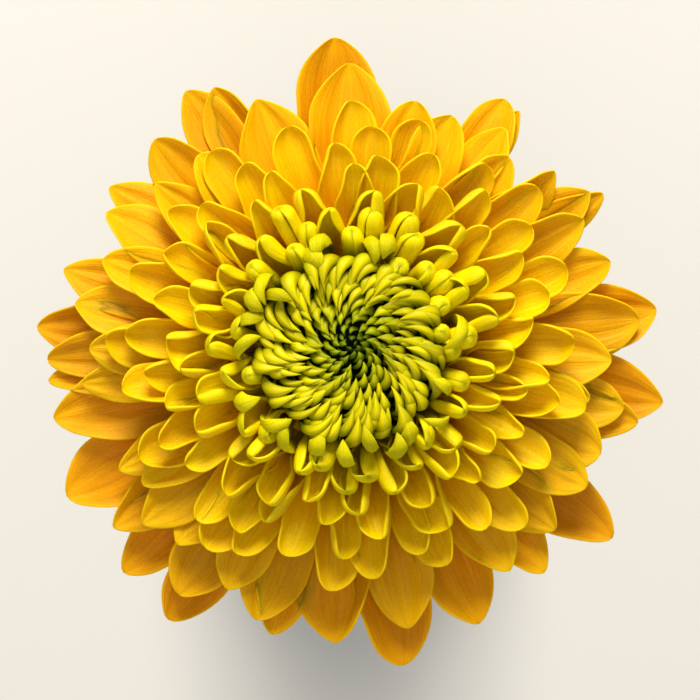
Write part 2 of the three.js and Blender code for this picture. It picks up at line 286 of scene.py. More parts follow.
def carried(
    spine: Spine,
    along: Array,
    section: tuple[Array, Array],
    roll: Array | float,
    sway: Array | float,
    azimuth: Array | float,
) -> Array:
    """Rings of points from flat sections that are carried along a spine.

    Args:
        spine: the curve that they follow, in the plane of (outward, up).
        along: n shares of its length.
        section: the points' offsets to the side and over the spine, in mm, each as n by m.
        roll: turns of the sections about the spine, in radians, n or one for all.
        sway: sideways shifts of the spine, in mm, n or one for all.
        azimuth: directions outward, in radians anticlockwise from +X, n or one for all.

    Returns:
        n by m by 3 points.
    """
    sideways, upwards = section
    cos, sin = np.cos(roll)[..., None], np.sin(roll)[..., None]
    across = sideways * cos - upwards * sin + np.asarray(sway)[..., None]
    height = sideways * sin + upwards * cos
    line, tangent = spine.trace(along)
    outward = line[:, :1] - tangent[:, 1:] * height
    level = line[:, 1:] + tangent[:, :1] * height
    cos, sin = np.cos(azimuth)[..., None], np.sin(azimuth)[..., None]
    return np.stack([outward * cos - across * sin, outward * sin + across * cos, level], -1)


@dataclass(frozen=True)
class Blade:
    """A thin curled blade along a spine, with rounded rims.

    Its section at a share of the length is a circular arc as long as twice the half-breadth, so the
    radius is the half-breadth over the half-angle. The point at a share v across lies
    radius·sin(v·curl) sideways and radius·(1 - cos(v·curl)) above the spine. The two faces stand half
    a thickness off that arc along its normal, a point half a thickness past each end rounds the
    rim, and the thickness dies out where the breadth does.

    Attributes:
        along: n shares from root to tip.
        across: m shares from -1 to 1.
        breadth: half-breadths measured round the arc, in mm, as n by 1 or n by m.
        curl: half-angles of the arc in radians, in the same form. Near pi the blade is a closed tube,
            and where they differ between the sides one margin folds further in.
        lift: n heights, in mm, by which the middle stands above the spine.
        thickness: n by m thicknesses, in mm.
        relief: n by m heights added to the arc along its normal, in mm.
        roll: n turns of the section about the spine, in radians.
        sway: n sideways shifts of the spine, in mm.
    """

    along: Array
    across: Array
    breadth: Array
    curl: Array
    lift: Array
    thickness: Array
    relief: Array
    roll: Array
    sway: Array

    def skin(self, spine: Spine, azimuth: float, marks: Mapping[str, Array | float]) -> Surface:
        """The blade's closed skin in its place round the Z axis.

        Args:
            spine: the curve that it follows.
            azimuth: direction outward, in radians anticlockwise from +X.
            marks: named numbers, each for the whole blade or for its n rings of 2m + 2 points.

        Returns:
            The skin, with the marks along, across, face and rim besides the given ones.
        """
        turn = self.curl * self.across
        radius = self.breadth / self.curl
        normal = np.stack([-np.sin(turn), np.cos(turn)], -1)
        middle = np.stack([radius * np.sin(turn), radius * (1.0 - np.cos(turn))], -1)
        middle = middle + normal * self.relief[..., None]
        full = self.thickness.max(axis=1, keepdims=True)
        thinned = np.clip(self.breadth / (1.2 * full), 0.1, 1.0)
        half = (self.thickness * thinned / 2)[..., None]
        upper, lower = middle + normal * half, middle - normal * half
        tangent = np.stack([np.cos(turn), np.sin(turn)], -1)
        right = (middle + tangent * half)[:, -1:]
        left = (middle - tangent * half)[:, :1]
        section = np.concatenate([upper, right, lower[:, ::-1], left], 1)
        offsets = section[..., 0], section[..., 1] + self.lift[:, None]
        rings = carried(spine, self.along, offsets, self.roll, self.sway, azimuth)
        return closed_skin(rings, self._marks() | dict(marks))

    def _marks(self) -> dict[str, Array]:
        """The blade's own marks round its rings.

        The face mark is 1 on the inner face, 0 on the outer one and half on the rims. The rim mark
        is the 10th power of the share across, fading in from 0.3 to 0.95 of the length, or four
        fifths of a smooth step over the last 12% of it where that is more.

        Returns:
            The marks along, across, face and rim.
        """
        across = np.concatenate([self.across, [1.0], self.across[::-1], [-1.0]])
        inner, outer = np.ones_like(self.across), np.zeros_like(self.across)
        sides = np.outer(smoothstep(0.3, 0.95, self.along), np.abs(across) ** 10)
        return {
            "along": self.along[:, None],
            "across": across[None, :],
            "face": np.concatenate([inner, [0.5], outer, [0.5]])[None, :],
            # On the petals the rim mark carries a painted highlight; on the bracts it is their real dry edge.
            "rim": np.maximum(sides, 0.8 * smoothstep(0.88, 1.0, self.along)[:, None]),
        }


@dataclass(frozen=True)
class Scale:
    """A floret that is still shut: a solid pointed scale with a keeled back.

    Its ring has a nearly flat inner face, and a back that rises from both sides to the keel by a
    power of the sine.

    Attributes:
        along: n shares from root to tip.
        half: n half-breadths, in mm.
        keel: height of the back over the half-breadth.
        sharpness: the power. From 1 for a round back it goes up to a sharp ridge.
        roll: turn of the section about the spine, in radians.
        azimuth: n directions outward, in radians anticlockwise from +X.
        middle: where the axis stands that the directions are taken from, in mm.
    """

    along: Array
    half: Array
    keel: float
    sharpness: float
    roll: float
    azimuth: Array
    middle: Point = (0.0, 0.0)

    def skin(self, spine: Spine, sides: int, marks: Mapping[str, float]) -> Surface:
        """The scale's closed skin in its place.

        Args:
            spine: the curve that it follows, with its back on the right-hand side.
            sides: points round each ring.
            marks: named numbers that are the same all over the scale.

        Returns:
            The skin, with the marks of a blade besides the given ones, and ridge for the keel, where
            the young florets' finish paints a highlight.
        """
        turn = np.linspace(0.0, 2.0 * np.pi, sides, endpoint=False)
        sine, cosine = np.sin(turn), np.cos(turn)
        profile = np.where(sine > 0.0, -self.keel * np.abs(sine) ** self.sharpness, -0.2 * sine)
        section = np.outer(self.half, cosine), np.outer(self.half, profile)
        rings = carried(spine, self.along, section, self.roll, 0.0, self.azimuth)
        own = {
            "along": self.along[:, None],
            "across": cosine[None, :],
            "face": 1.0,
            # On the beaks the rim mark carries the petals' painted highlight along the sides.
            "rim": 0.6 * np.abs(cosine)[None, :] ** 5,
            "ridge": np.maximum(sine, 0.0)[None, :] ** 2,
        }
        return closed_skin(rings + [*self.middle, 0.0], own | dict(marks))


def tip_shares(count: int, crowding: float) -> Array:
    """Shares from 0 to 1 that crowd towards the tip: 1 - (1 - w)^crowding for even w."""
    return 1.0 - (1.0 - np.linspace(0.0, 1.0, count)) ** crowding


def outline(along: Array, claw: float, widest: float, shoulder: float, roundness: float) -> Array:
    """Half-breadths of a floret: a claw that swells to the shoulder and closes at the tip.

    Up to 0.75 of the way to the shoulder the breadth follows a smooth step from the claw's. Beyond
    the shoulder, with s from 0 to 1, it is widest·(1 - s^p)^(1/q). From a pointed tip to a round one
    q runs from 1.1 to 2.1, and p from 1.4 to 2.3 by the time that it is half round.

    Args:
        along: shares from root to tip.
        claw: half-breadth at the root, in mm.
        widest: largest half-breadth, in mm.
        shoulder: share of the length where it is widest.
        roundness: 0 for a pointed tip, 1 for a round one.

    Returns:
        The half-breadths, in mm.
    """
    swelling = mix(claw, widest, smoothstep(0.1, 0.75 * shoulder, along))
    beyond = np.clip((along - shoulder) / (1.0 - shoulder), 0.0, 1.0)
    power = mix(1.4, 2.3, min(1.0, 2.0 * roundness))
    return swelling * (1.0 - beyond**power) ** (1.0 / mix(1.1, 2.1, roundness)) + 0.02


# Finishes


def linear(code: str) -> tuple[float, float, float, float]:
    """An sRGB hex colour as the linear colour that Blender's sockets take.

    A channel c becomes c / 12.92 up to 0.04045, and ((c + 0.055) / 1.055)^2.4 above it.

    Args:
        code: the colour as #rrggbb.

    Returns:
        Red, green and blue from 0 to 1, and alpha 1.
    """
    channels = np.array([int(code[i : i + 2], 16) for i in (1, 3, 5)]) / 255.0
    light = np.where(channels <= 0.04045, channels / 12.92, ((channels + 0.055) / 1.055) ** 2.4)
    return (*(float(value) for value in light), 1.0)


class Shading:
    """A material in the making: its Principled shader and what leads into it.

    Attributes:
        material: the material.
        marks: the sockets that read the numbers kept on the mesh's points, by name.
    """

    def __init__(self, name: str, *marks: str) -> None:
        """Starts a material with a Principled shader wired to its output.

        Args:
            name: the material's name.
            marks: names of the marks that it reads.
        """
        self.material = bpy.data.materials.new(name)
        self.material.use_nodes = True
        self._tree = self.material.node_tree
        self._tree.nodes.clear()
        self._shader = self.add("BsdfPrincipled")
        self.add("OutputMaterial", {"Surface": self._shader.outputs["BSDF"]})
        self.marks = {mark: self.add("Attribute", attribute_name=mark).outputs["Fac"] for mark in marks}

    def add(
        self,
        kind: str,
        inputs: Mapping[str | int, Any] | None = None,
        stops: Stops = (),
        **settings: Any,
    ) -> bpy.types.Node:
        """Adds a node with its settings, and fills or links its inputs.

        Args:
            kind: the node's type name, without its first part, ShaderNode.
            inputs: a value, or another node's output socket, for each input by name or number.
            stops: a colour ramp's colours.
            settings: values for the node's own properties.

        Returns:
            The node.
        """
        node = self._tree.nodes.new("ShaderNode" + kind)
        for name, value in settings.items():
            setattr(node, name, value)
        if stops:
            elements = node.color_ramp.elements
            while len(elements) < len(stops):
                elements.new(0.5)
            for element, (place, code) in zip(elements, stops):
                element.position = place
                element.color = linear(code)
        self._fill(node, inputs or {})
        return node

    def _fill(self, node: bpy.types.Node, inputs: Mapping[str | int, Any]) -> None:
        """Gives each input its value, or its link where the value is another node's socket."""
        for name, value in inputs.items():
            if isinstance(value, bpy.types.NodeSocket):
                self._tree.links.new(value, node.inputs[name])
            else:
                node.inputs[name].default_value = value

    def layered(self, colour: Any, *layers: tuple[Any, Any]) -> bpy.types.NodeSocket:
        """A colour with others laid over it in order.

        Args:
            colour: the lowest one, as a colour or a socket.
            layers: for each the share that it covers and its colour, as values or sockets.

        Returns:
            The socket of the colour on top.
        """
        for share, over in layers:
            node = self.add("Mix", {0: share, 6: colour, 7: over}, data_type="RGBA")
            colour = node.outputs[2]
        return colour

    def stained(self, colour: Any, share: float, stain: Any) -> bpy.types.NodeSocket:
        """A colour multiplied by a stain.

        Args:
            colour: the colour's socket.
            share: how much of the stain is taken, from 0 to 1.
            stain: the stain, as a colour or the socket of a colour or a number.

        Returns:
            The socket of the stained colour.
        """
        settings = {"data_type": "RGBA", "blend_type": "MULTIPLY"}
        return self.add("Mix", {0: share, 6: colour, 7: stain}, **settings).outputs[2]

    def varied(self, colour: Any, *swings: tuple[bpy.types.NodeSocket, float, float]) -> bpy.types.NodeSocket:
        """A colour that gets lighter and darker with other numbers.

        Args:
            colour: the colour's socket.
            swings: for each number its socket, and the factors that it stands for at 0 and at 1.

        Returns:
            The socket of the varied colour.
        """
        for share, low, high in swings:
            factor = self.add("MapRange", {"Value": share, "To Min": low, "To Max": high})
            colour = self.stained(colour, 1.0, factor.outputs["Result"])
        return colour

    def streaks(self, across: float, along: float) -> bpy.types.NodeSocket:
        """Noise drawn out along a floret, its own for each one.

        Args:
            across: how many cells lie across half of the floret.
            along: how many cells lie along it.

        Returns:
            The socket of the noise, from 0 to 1.
        """
        apart = 40.0
        cells = [
            self.add("Math", {0: self.marks[name], 1: times}, operation="MULTIPLY").outputs[0]
            for name, times in (("across", across), ("along", along), ("seed", apart))
        ]
        place = self.add("CombineXYZ", dict(enumerate(cells))).outputs[0]
        noise = {"Vector": place, "Scale": 1.0, "Detail": 3.0, "Roughness": 0.55}
        return self.add("TexNoise", noise).outputs["Fac"]

    def finished(self, inputs: Mapping[str, Any]) -> bpy.types.Material:
        """The material, once the shader's inputs are filled or linked."""
        self._fill(self._shader, inputs)
        return self.material


@dataclass(frozen=True)
class PetalTissue:
    """Fresh petal tissue of a ray floret, grown soft and velvety.

    The eye gets a clear yellow that turns from lemon round the centre to old gold outermost, painted
    shade deep in the claw, a painted highlight along the rims and at the tip, a paler back, and faint
    streaks along the veins over a fine grain of about 0.5 mm, drawn coarser than the cells are so that
    it shows. Light goes a little way in and glows, which lifts the shadows between florets.

    Attributes:
        name: the material's name.
        blades: colours of the inner face from the youngest floret to the oldest.
        rims: colours of the painted highlight along the rims, from the youngest floret to the oldest.
        throat_shade: colour multiplied into the blade's deep in the claw, as painted shade.
        back: colour laid over the outer face.
    """

    name: str
    blades: Stops
    rims: Stops
    throat_shade: str
    back: str

    def material(self) -> bpy.types.Material:
        """Lays painted rim highlights on a streaked, grained blade, with painted claw shade and the back set
        off.

        Returns:
            The finish as a Blender material.
        """
        shading = Shading(self.name, "age", "along", "across", "face", "rim", "seed")
        marks = shading.marks
        blade, rim = (
            shading.add("ValToRGB", {"Fac": marks["age"]}, stops).outputs["Color"]
            for stops in (self.blades, self.rims)
        )
        # Painted shade: the inner face is darkened deep in the claw, fading out from 0.35 to 0.9 of the
        # length.
        depth = {"Value": marks["along"], "From Min": 0.35, "From Max": 0.9}
        clear_of_claw_shade = shading.add("MapRange", depth, interpolation_type="SMOOTHSTEP").outputs["Result"]
        inner = shading.layered(shading.stained(blade, 0.5, linear(self.throat_shade)), (clear_of_claw_shade, blade))
        back = shading.layered(blade, (0.5, linear(self.back)))
        streaks = shading.streaks(11.0, 2.2)
        place = shading.add("TexCoord").outputs["Object"]
        grain = {"Vector": place, "Scale": 1.0 / (0.45 * MM), "Detail": 2.0, "Roughness": 0.6}
        colour = shading.varied(
            shading.layered(back, (marks["face"], inner)),
            (streaks, 0.68, 1.2),
            (shading.add("TexNoise", grain).outputs["Fac"], 0.82, 1.16),
            (marks["seed"], 0.88, 1.06),
        )
        # Painted highlight: the rim colours laid along the rims and at the tip.
        edge = shading.add("Math", {0: marks["rim"], 1: 0.7}, operation="MULTIPLY").outputs[0]
        bump = shading.add("Bump", {"Height": streaks, "Strength": 0.7, "Distance": 0.3 * MM})
        return shading.finished(
            {
                "Base Color": shading.layered(colour, (edge, rim)),
                "Normal": bump.outputs["Normal"],
                "Roughness": 0.5,
                "IOR": 1.4,
                "Specular IOR Level": 0.16,
                "Subsurface Weight": 0.55,
                "Subsurface Radius": (1.0, 0.85, 0.05),
                "Subsurface Scale": 1.1 * MM,
            }
        )


@dataclass(frozen=True)
class YoungTissue:
    """Tissue of the unopened florets at the centre, waxier and greener than the petals.

    The eye gets yellow backs at the bowl's rim that turn through lime to a dark green hollow, each
    floret greener towards its root and lightly streaked along it, with a painted highlight along its
    keel and painted shade on its sides.

    Attributes:
        name: the material's name.
        stops: colours from the middle of the bowl to its rim.
        root: colour that each floret takes towards its root.
        side: colour multiplied into its sides, away from the keel, as painted shade.
    """

    name: str
    stops: Stops
    root: str
    side: str

    def material(self) -> bpy.types.Material:
        """Lays the keel's painted highlight over the sides' painted shade, with streaks along both.

        Returns:
            The finish as a Blender material.
        """
        shading = Shading(self.name, "age", "along", "across", "ridge", "seed")
        marks = shading.marks
        fresh = shading.add("ValToRGB", {"Fac": marks["age"]}, self.stops).outputs["Color"]
        rise = {"Value": marks["along"], "From Min": 0.25, "From Max": 0.8}
        free_part = shading.add("MapRange", rise, interpolation_type="SMOOTHSTEP").outputs["Result"]
        keel = shading.layered(linear(self.root), (free_part, fresh))
        # Painted shade on the sides, and by the ridge mark a painted highlight along the keel.
        side = shading.stained(keel, 1.0, linear(self.side))
        streaks = shading.streaks(3.0, 1.6)
        colour = shading.varied(
            shading.layered(side, (marks["ridge"], keel)), (marks["seed"], 0.86, 1.12), (streaks, 0.8, 1.16)
        )
        bump = shading.add("Bump", {"Height": streaks, "Strength": 0.6, "Distance": 0.25 * MM})
        return shading.finished(
            {
                "Base Color": colour,
                "Normal": bump.outputs["Normal"],
                "Roughness": 0.38,
                "IOR": 1.4,
                "Specular IOR Level": 0.2,
                "Subsurface Weight": 0.15,
                "Subsurface Radius": (0.8, 0.8, 0.1),
                "Subsurface Scale": 0.8 * MM,
            }
        )


@dataclass(frozen=True)
class LeafTissue:
    """A fresh chrysanthemum leaf: matt grey-green above, paler and downy below.

    The eye gets light veins in a slightly quilted blade, with cells of about 1.5 mm between them, and
    a mottle of about 6 mm.

    Attributes:
        name: the material's name.
        upper: colour of the upper face.
        lower: colour of the lower face.
        vein: colour of the midrib and side veins.
    """

    name: str
    upper: str
    lower: str
    vein: str

    def material(self) -> bpy.types.Material:
        """Lays the veins over the mottled faces, with the cells as relief.

        Returns:
            The finish as a Blender material.
        """
        shading = Shading(self.name, "face", "vein")
        place = shading.add("TexCoord").outputs["Object"]
        mottle = {"Vector": place, "Scale": 1.0 / (6.0 * MM), "Detail": 4.0, "Roughness": 0.6}
        cells = shading.add("TexVoronoi", {"Vector": place, "Scale": 1.0 / (1.5 * MM)}, feature="SMOOTH_F1")
        face = shading.varied(
            shading.layered(linear(self.lower), (shading.marks["face"], linear(self.upper))),
            (shading.add("TexNoise", mottle).outputs["Fac"], 0.72, 1.28),
        )
        quilt = {"Height": cells.outputs["Distance"], "Strength": 0.45, "Distance": 0.3 * MM}
        return shading.finished(
            {
                "Base Color": shading.layered(face, (shading.marks["vein"], linear(self.vein))),
                "Normal": shading.add("Bump", quilt).outputs["Normal"],
                "Roughness": 0.55,
                "IOR": 1.4,
                "Subsurface Weight": 0.08,
                "Subsurface Scale": 0.8 * MM,
                "Sheen Weight": 0.1,
            }
        )


@dataclass(frozen=True)
class GreenSkin:
    """Skin of the stem and the bracts: ribbed, slightly downy green tissue.

    The eye gets pale ribs over darker furrows with a mottle of about 3 mm, and on the bracts thin dry
    edges.

    Attributes:
        name: the material's name.
        furrow: colour down between the ribs, or of a bract's sides.
        rib: colour on the ribs, or in the middle of a bract.
        edge: colour of a bract's dry rim.
    """

    name: str
    furrow: str
    rib: str
    edge: str

    def material(self) -> bpy.types.Material:
        """Lays the ribs and the dry edges over the furrows, with the mottle as relief.

        Returns:
            The finish as a Blender material.
        """
        shading = Shading(self.name, "rib", "rim")
        place = shading.add("TexCoord").outputs["Object"]
        noise = {"Vector": place, "Scale": 1.0 / (3.0 * MM), "Detail": 4.0, "Roughness": 0.6}
        mottle = shading.add("TexNoise", noise).outputs["Fac"]
        ribbed = shading.layered(linear(self.furrow), (shading.marks["rib"], linear(self.rib)))
        colour = shading.varied(ribbed, (mottle, 0.75, 1.25))
        bump = shading.add("Bump", {"Height": mottle, "Strength": 0.3, "Distance": 0.2 * MM})
        return shading.finished(
            {
                "Base Color": shading.layered(colour, (shading.marks["rim"], linear(self.edge))),
                "Normal": bump.outputs["Normal"],
                "Roughness": 0.55,
                "IOR": 1.4,
                "Sheen Weight": 0.1,
            }
        )


@dataclass(frozen=True)
class StonewareGlaze:
    """Wheel-thrown stoneware, dipped in a dark slate glaze and fired.

    The eye gets a glossy coat with fine pale specks about 2.4 mm apart, faint throwing rings about
    3 mm apart, a brown break where the glaze thins at the lip, and bare matt clay in a narrow band at
    the foot.

    Attributes:
        name: the material's name.
        glaze: colour of the thick glaze.
        pool: colour where it has pooled and lightened.
        speck: colour of the specks.
        thin: colour where the glaze thins at the lip.
        clay: colour of the bare clay.
        bare_to: height of the bare band, in mm.
        lip_at: height of the lip, in mm.
    """

    name: str
    glaze: str
    pool: str
    speck: str
    thin: str
    clay: str
    bare_to: float
    lip_at: float

    def material(self) -> bpy.types.Material:
        """Lays the speckled glaze over the clay, with the throwing rings as relief.

        Returns:
            The finish as a Blender material.
        """
        shading = Shading(self.name)
        place = shading.add("TexCoord").outputs["Object"]
        height = shading.add("SeparateXYZ", {0: place}).outputs["Z"]
        noise = {"Vector": place, "Scale": 1.0 / (22.0 * MM), "Detail": 5.0, "Roughness": 0.55}
        flow = shading.add("TexNoise", noise).outputs["Fac"]
        grit = shading.add("TexVoronoi", {"Vector": place, "Scale": 1.0 / (2.4 * MM)}).outputs["Distance"]
        dots = {"Value": grit, "From Min": 0.2, "From Max": 0.1, "To Max": 0.75}
        specks = shading.add("MapRange", dots, interpolation_type="SMOOTHSTEP").outputs["Result"]
        thinning = self._band(shading, height, flow, self.lip_at - 4.5, self.lip_at - 0.8)
        coat = self._band(shading, height, flow, self.bare_to - 0.15, self.bare_to + 0.15)
        glaze = shading.layered(
            linear(self.glaze),
            (flow, linear(self.pool)),
            (specks, linear(self.speck)),
            (thinning, linear(self.thin)),
        )
        turns = {0: height, 1: 2.0 * math.pi / (3.0 * MM)}
        phase = shading.add("Math", turns, operation="MULTIPLY").outputs[0]
        ridge = shading.add("Math", {0: phase}, operation="SINE").outputs[0]
        bump = shading.add("Bump", {"Height": ridge, "Strength": 0.12, "Distance": 0.2 * MM})
        gloss = shading.add("MapRange", {"Value": coat, "To Min": 0.85, "To Max": 0.2})
        return shading.finished(
            {
                "Base Color": shading.layered(linear(self.clay), (coat, glaze)),
                "Roughness": gloss.outputs["Result"],
                "Normal": bump.outputs["Normal"],
                "IOR": 1.52,
            }
        )

    @staticmethod
    def _band(
        shading: Shading,
        height: bpy.types.NodeSocket,
        wander: bpy.types.NodeSocket,
        low: float,
        high: float,
    ) -> bpy.types.NodeSocket:
        """A smooth step over a band of heights that wanders by up to 1.5 mm up and down.

        Args:
            shading: the material in the making.
            height: the socket of the height, in metres.
            wander: the socket of a noise from 0 to 1 that moves the band.
            low: the height up to which the step is 0, in mm.
            high: the height from which it is 1, in mm.

        Returns:
            The socket of the step.
        """
        reach = 3.0 * MM
        shift = shading.add("Math", {0: wander, 1: reach, 2: height}, operation="MULTIPLY_ADD").outputs[0]
        ends = {"Value": shift, "From Min": low * MM + reach / 2, "From Max": high * MM + reach / 2}
        return shading.add("MapRange", ends, interpolation_type="SMOOTHSTEP").outputs["Result"]


@dataclass(frozen=True)
class StillWater:
    """Clear tap water. The eye gets a bright edge at the surface and the dark vase through it."""

    name: str
    tint: str

    def material(self) -> bpy.types.Material:
        """The finish as a Blender material."""
        shader = {"Roughness": 0.02, "IOR": 1.333, "Transmission Weight": 1.0}
        return Shading(self.name).finished({"Base Color": linear(self.tint), **shader})


@dataclass(frozen=True)
class StudioPaper:
    """Matt studio paper for the floor. The eye gets a plain pale ground with no pattern."""

    name: str
    colour: str

    def material(self) -> bpy.types.Material:
        """The finish as a Blender material."""
        return Shading(self.name).finished({"Base Color": linear(self.colour), "Roughness": 0.9})


# Pieces


def make_piece(name: str, surface: Surface, material: bpy.types.Material) -> bpy.types.Object:
    """Hands a surface to Blender in metres, smooth-shaded, with its marks as point attributes.

    Args:
        name: the object's name.
        surface: the surface, in mm.
        material: its finish.

    Returns:
        The object, at the origin.
    """
    mesh = bpy.data.meshes.new(name)
    faces = [*surface.quads.tolist(), *surface.fans.tolist()]
    mesh.from_pydata((surface.points * MM).tolist(), [], faces)
    for mark_name, values in surface.marks.items():
        attribute = mesh.attributes.new(mark_name, "FLOAT", "POINT")
        attribute.data.foreach_set("value", values.astype(np.float32))
    mesh.polygons.foreach_set("use_smooth", np.ones(len(faces), bool))
    mesh.materials.append(material)
    mesh.update()
    piece = bpy.data.objects.new(name, mesh)
    bpy.context.scene.collection.objects.link(piece)
    return piece


def dress(piece: bpy.types.Object, slot: str, *nodes: str) -> None:
    """Lets a piece ride on the frame in place of its CAD nodes, and reports it.

    Args:
        piece: the finished piece.
        slot: the record's material slot; not used.
        nodes: the CAD nodes that it stands for.
    """
    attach(piece, "root")
    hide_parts(*nodes)
    log.info("%s: %d faces in place of %s", piece.name, len(piece.data.polygons), ", ".join(nodes))


def raised(surface: Surface) -> Surface:
    """A surface of the bloom, moved from the receptacle's own height to its place."""
    return replace(surface, points=surface.points + [0.0, 0.0, BLOOM_BASE])


# The bloom

GOLDEN_ANGLE = math.radians(137.508)

# Half-angles of the arc: of a closed tube, and the furthest that a margin folds in.
TUBE = math.radians(170.0)
FURTHEST_FOLD = math.radians(225.0)

# The outermost petals as the photo shows them: direction in degrees, reach and breadth in mm. The
# last nine are shorter ones that lie over the others.
OUTER_PETALS: tuple[tuple[float, float, float], ...] = (
    (7.5, 58.5, 12), (6, 55, 11), (19, 52, 9.5), (29.5, 50.3, 10), (31.8, 56.3, 7),
    (33.6, 54.3, 9), (41.8, 51.2, 10), (51, 47, 9.5), (54.6, 55.5, 5.5), (54.5, 51, 8.5),
    (57.8, 55.7, 9.5), (66.4, 48, 9.5), (75.2, 48.3, 9.5), (90, 54, 14), (93.3, 59.3, 15),
    (110.5, 50.5, 12.5), (117.2, 56, 9.5), (122.3, 58, 9.5), (132.7, 54.3, 10.5), (146, 55, 9.5),
    (151, 52.8, 9.5), (160, 49.6, 9), (164.4, 56.2, 9.5), (170.6, 52.6, 9), (175.8, 59.7, 9.5),
    (181.5, 57.3, 8), (186, 57.5, 7), (193, 57.5, 12.5), (207.5, 60.4, 12.5), (217, 56, 10.5),
    (224.5, 60.4, 10.5), (235, 56.4, 10.5), (236, 61.9, 10), (243, 50.6, 9), (250.5, 54, 11),
    (254.5, 55.9, 11), (267.6, 55.5, 13.5), (279.5, 60.6, 13), (282, 53.8, 11.5), (295, 57.4, 12.5),
    (306, 51.4, 10), (311, 56, 10.5), (319, 51.5, 10.5), (324.5, 61.4, 12), (330, 51.5, 9.5),
    (337.5, 51.2, 11), (346, 56.2, 9.5), (350.6, 60.3, 12.5), (348, 52.9, 10), (357.6, 49.2, 10),
    (207.5, 49, 7.5), (213, 46.5, 7.5), (220, 51, 9.5), (228.5, 49, 9.5),
    (187, 51, 8), (179.6, 49, 8.5), (139.4, 48.2, 8), (128, 46.4, 8.5), (348.7, 46, 8.5),
)
LONGEST = max(reach for _, reach, _ in OUTER_PETALS)


class FloretForm(Enum):
    """What a ray floret has opened into."""

    BEAK = "a shut scale whose wide pointed head bends in over the centre"
    QUILL = "a tube shut along a seam, with a rounded end"
    HOOD = "a tongue shut at its tip, whose margins spread below it"
    SPOON = "a tube that opens into a teardrop mouth with thick rims"
    CUP = "a cupped blade with a raised rim"
    PETAL = "a broad shallow petal with grooves"


@dataclass(frozen=True)
class FloretShape:
    """The numbers behind a floret's form.

    Attributes:
        rows: rings of points along it.
        columns: points across each face.
        claw: half-breadth at the root, in mm.
        shoulder: share of the length where it is widest.
        roundness: 0 for a pointed tip, 1 for a round one.
        opening: half-angle of the arc halfway up, for the form's first and last floret, in degrees.
        closing: the same at the tip.
        spread: how far both vary from floret to floret, in degrees.
        opens_at: share of the length where the tube starts to open.
        hood: how far the tip closes up to the rims' height, as a share.
        thickness: thickness in the middle and at the rims, in mm.
        fold: how much further than the other one margin may fold in, as a share.
        skew: how much broader than the other one side may be at the tip, as a share.
        groove: depth of the grooves, in mm.
        ripple: height of the ripple along the edges, in mm.
    """

    rows: int
    columns: int
    claw: float
    shoulder: float
    roundness: float
    opening: Point
    closing: Point
    spread: float
    opens_at: float
    hood: float
    thickness: Point
    fold: float
    skew: float
    groove: float
    ripple: float


FLORET_SHAPES: dict[FloretForm, FloretShape] = {
    FloretForm.QUILL: FloretShape(
        rows=20, columns=15, claw=2.2, shoulder=0.88, roundness=1.0,
        opening=(176, 173), closing=(176, 171), spread=2, opens_at=0.45, hood=0.5,
        thickness=(0.5, 0.6), fold=0.12, skew=0.05, groove=0.0, ripple=0.05,
    ),
    FloretForm.HOOD: FloretShape(
        rows=26, columns=17, claw=2.2, shoulder=0.84, roundness=0.9,
        opening=(124, 84), closing=(170, 130), spread=12, opens_at=0.15, hood=0.6,
        thickness=(0.4, 0.55), fold=0.42, skew=0.15, groove=0.04, ripple=0.2,
    ),
    FloretForm.SPOON: FloretShape(
        rows=26, columns=17, claw=2.2, shoulder=0.84, roundness=0.85,
        opening=(146, 104), closing=(170, 122), spread=14, opens_at=0.35, hood=0.75,
        thickness=(0.4, 0.6), fold=0.45, skew=0.15, groove=0.0, ripple=0.2,
    ),
    FloretForm.CUP: FloretShape(
        rows=26, columns=17, claw=2.4, shoulder=0.8, roundness=0.8,
        opening=(80, 34), closing=(124, 50), spread=14, opens_at=0.1, hood=0.75,
        thickness=(0.4, 0.5), fold=0.5, skew=0.2, groove=0.08, ripple=0.35,
    ),
    FloretForm.PETAL: FloretShape(
        rows=26, columns=19, claw=2.8, shoulder=0.74, roundness=0.34,
        opening=(26, 16), closing=(46, 26), spread=10, opens_at=0.05, hood=0.5,
        thickness=(0.4, 0.4), fold=0.5, skew=0.12, groove=0.18, ripple=0.6,
    ),
}


class RayDraw(IntEnum):
    """Which departure of a ray floret from the rule is drawn."""

    AZIMUTH = 1
    REACH = 2
    ROLL = 3
    FORM = 4
    WIDTH = 5
    ROUNDNESS = 6
    OPENING = 7
    TWIST = 8
    SWAY = 9
    SLOPE = 10
    SEED = 11
    PHASE = 12
    HEIGHT = 13
    SHOULDER = 14
    FOLD = 15
    SKEW = 16
    SIDE = 17


@dataclass(frozen=True)
class Floret:
    """One ray floret's place.

    Attributes:
        number: its number, counted outwards.
        azimuth: its direction, in radians anticlockwise from +X.
        reach: distance of its tip from the axis, in mm.
        width: its breadth, in mm.
    """

    number: int
    azimuth: float
    reach: float
    width: float

    def draw(self, departure: RayDraw) -> float:
        """The floret's own number from -1 to 1 for a departure from the rule."""
        return wobble(self.number, departure)


@dataclass(frozen=True)
class Whorl:
    """How the florets of a whorl run from their roots to the dome, for its first and its last.

    Attributes:
        roots: their roots, as radius and height in mm.
        leaving: their slopes at the root, in degrees above outward.
        arriving: their slopes at the tip, in degrees above outward.
        sunk: how far below the dome their tips lie, in mm.
        height_stray: how far the heights of single tips stray, in mm.
        slope_stray: how far the slopes at single tips stray, in degrees.
    """

    roots: tuple[Point, Point]
    leaving: Point
    arriving: Point
    sunk: Point
    height_stray: float
    slope_stray: float


INNER_WHORL = Whorl(((17.2, 15.0), (16.0, 12.6)), (84.0, 56.0), (58.0, 20.0), (0.0, 0.0), 0.9, 10.0)
OUTER_WHORL = Whorl(((19.0, 9.8), (12.0, 3.2)), (52.0, 14.0), (16.0, -8.0), (1.8, 0.0), 0.7, 7.0)


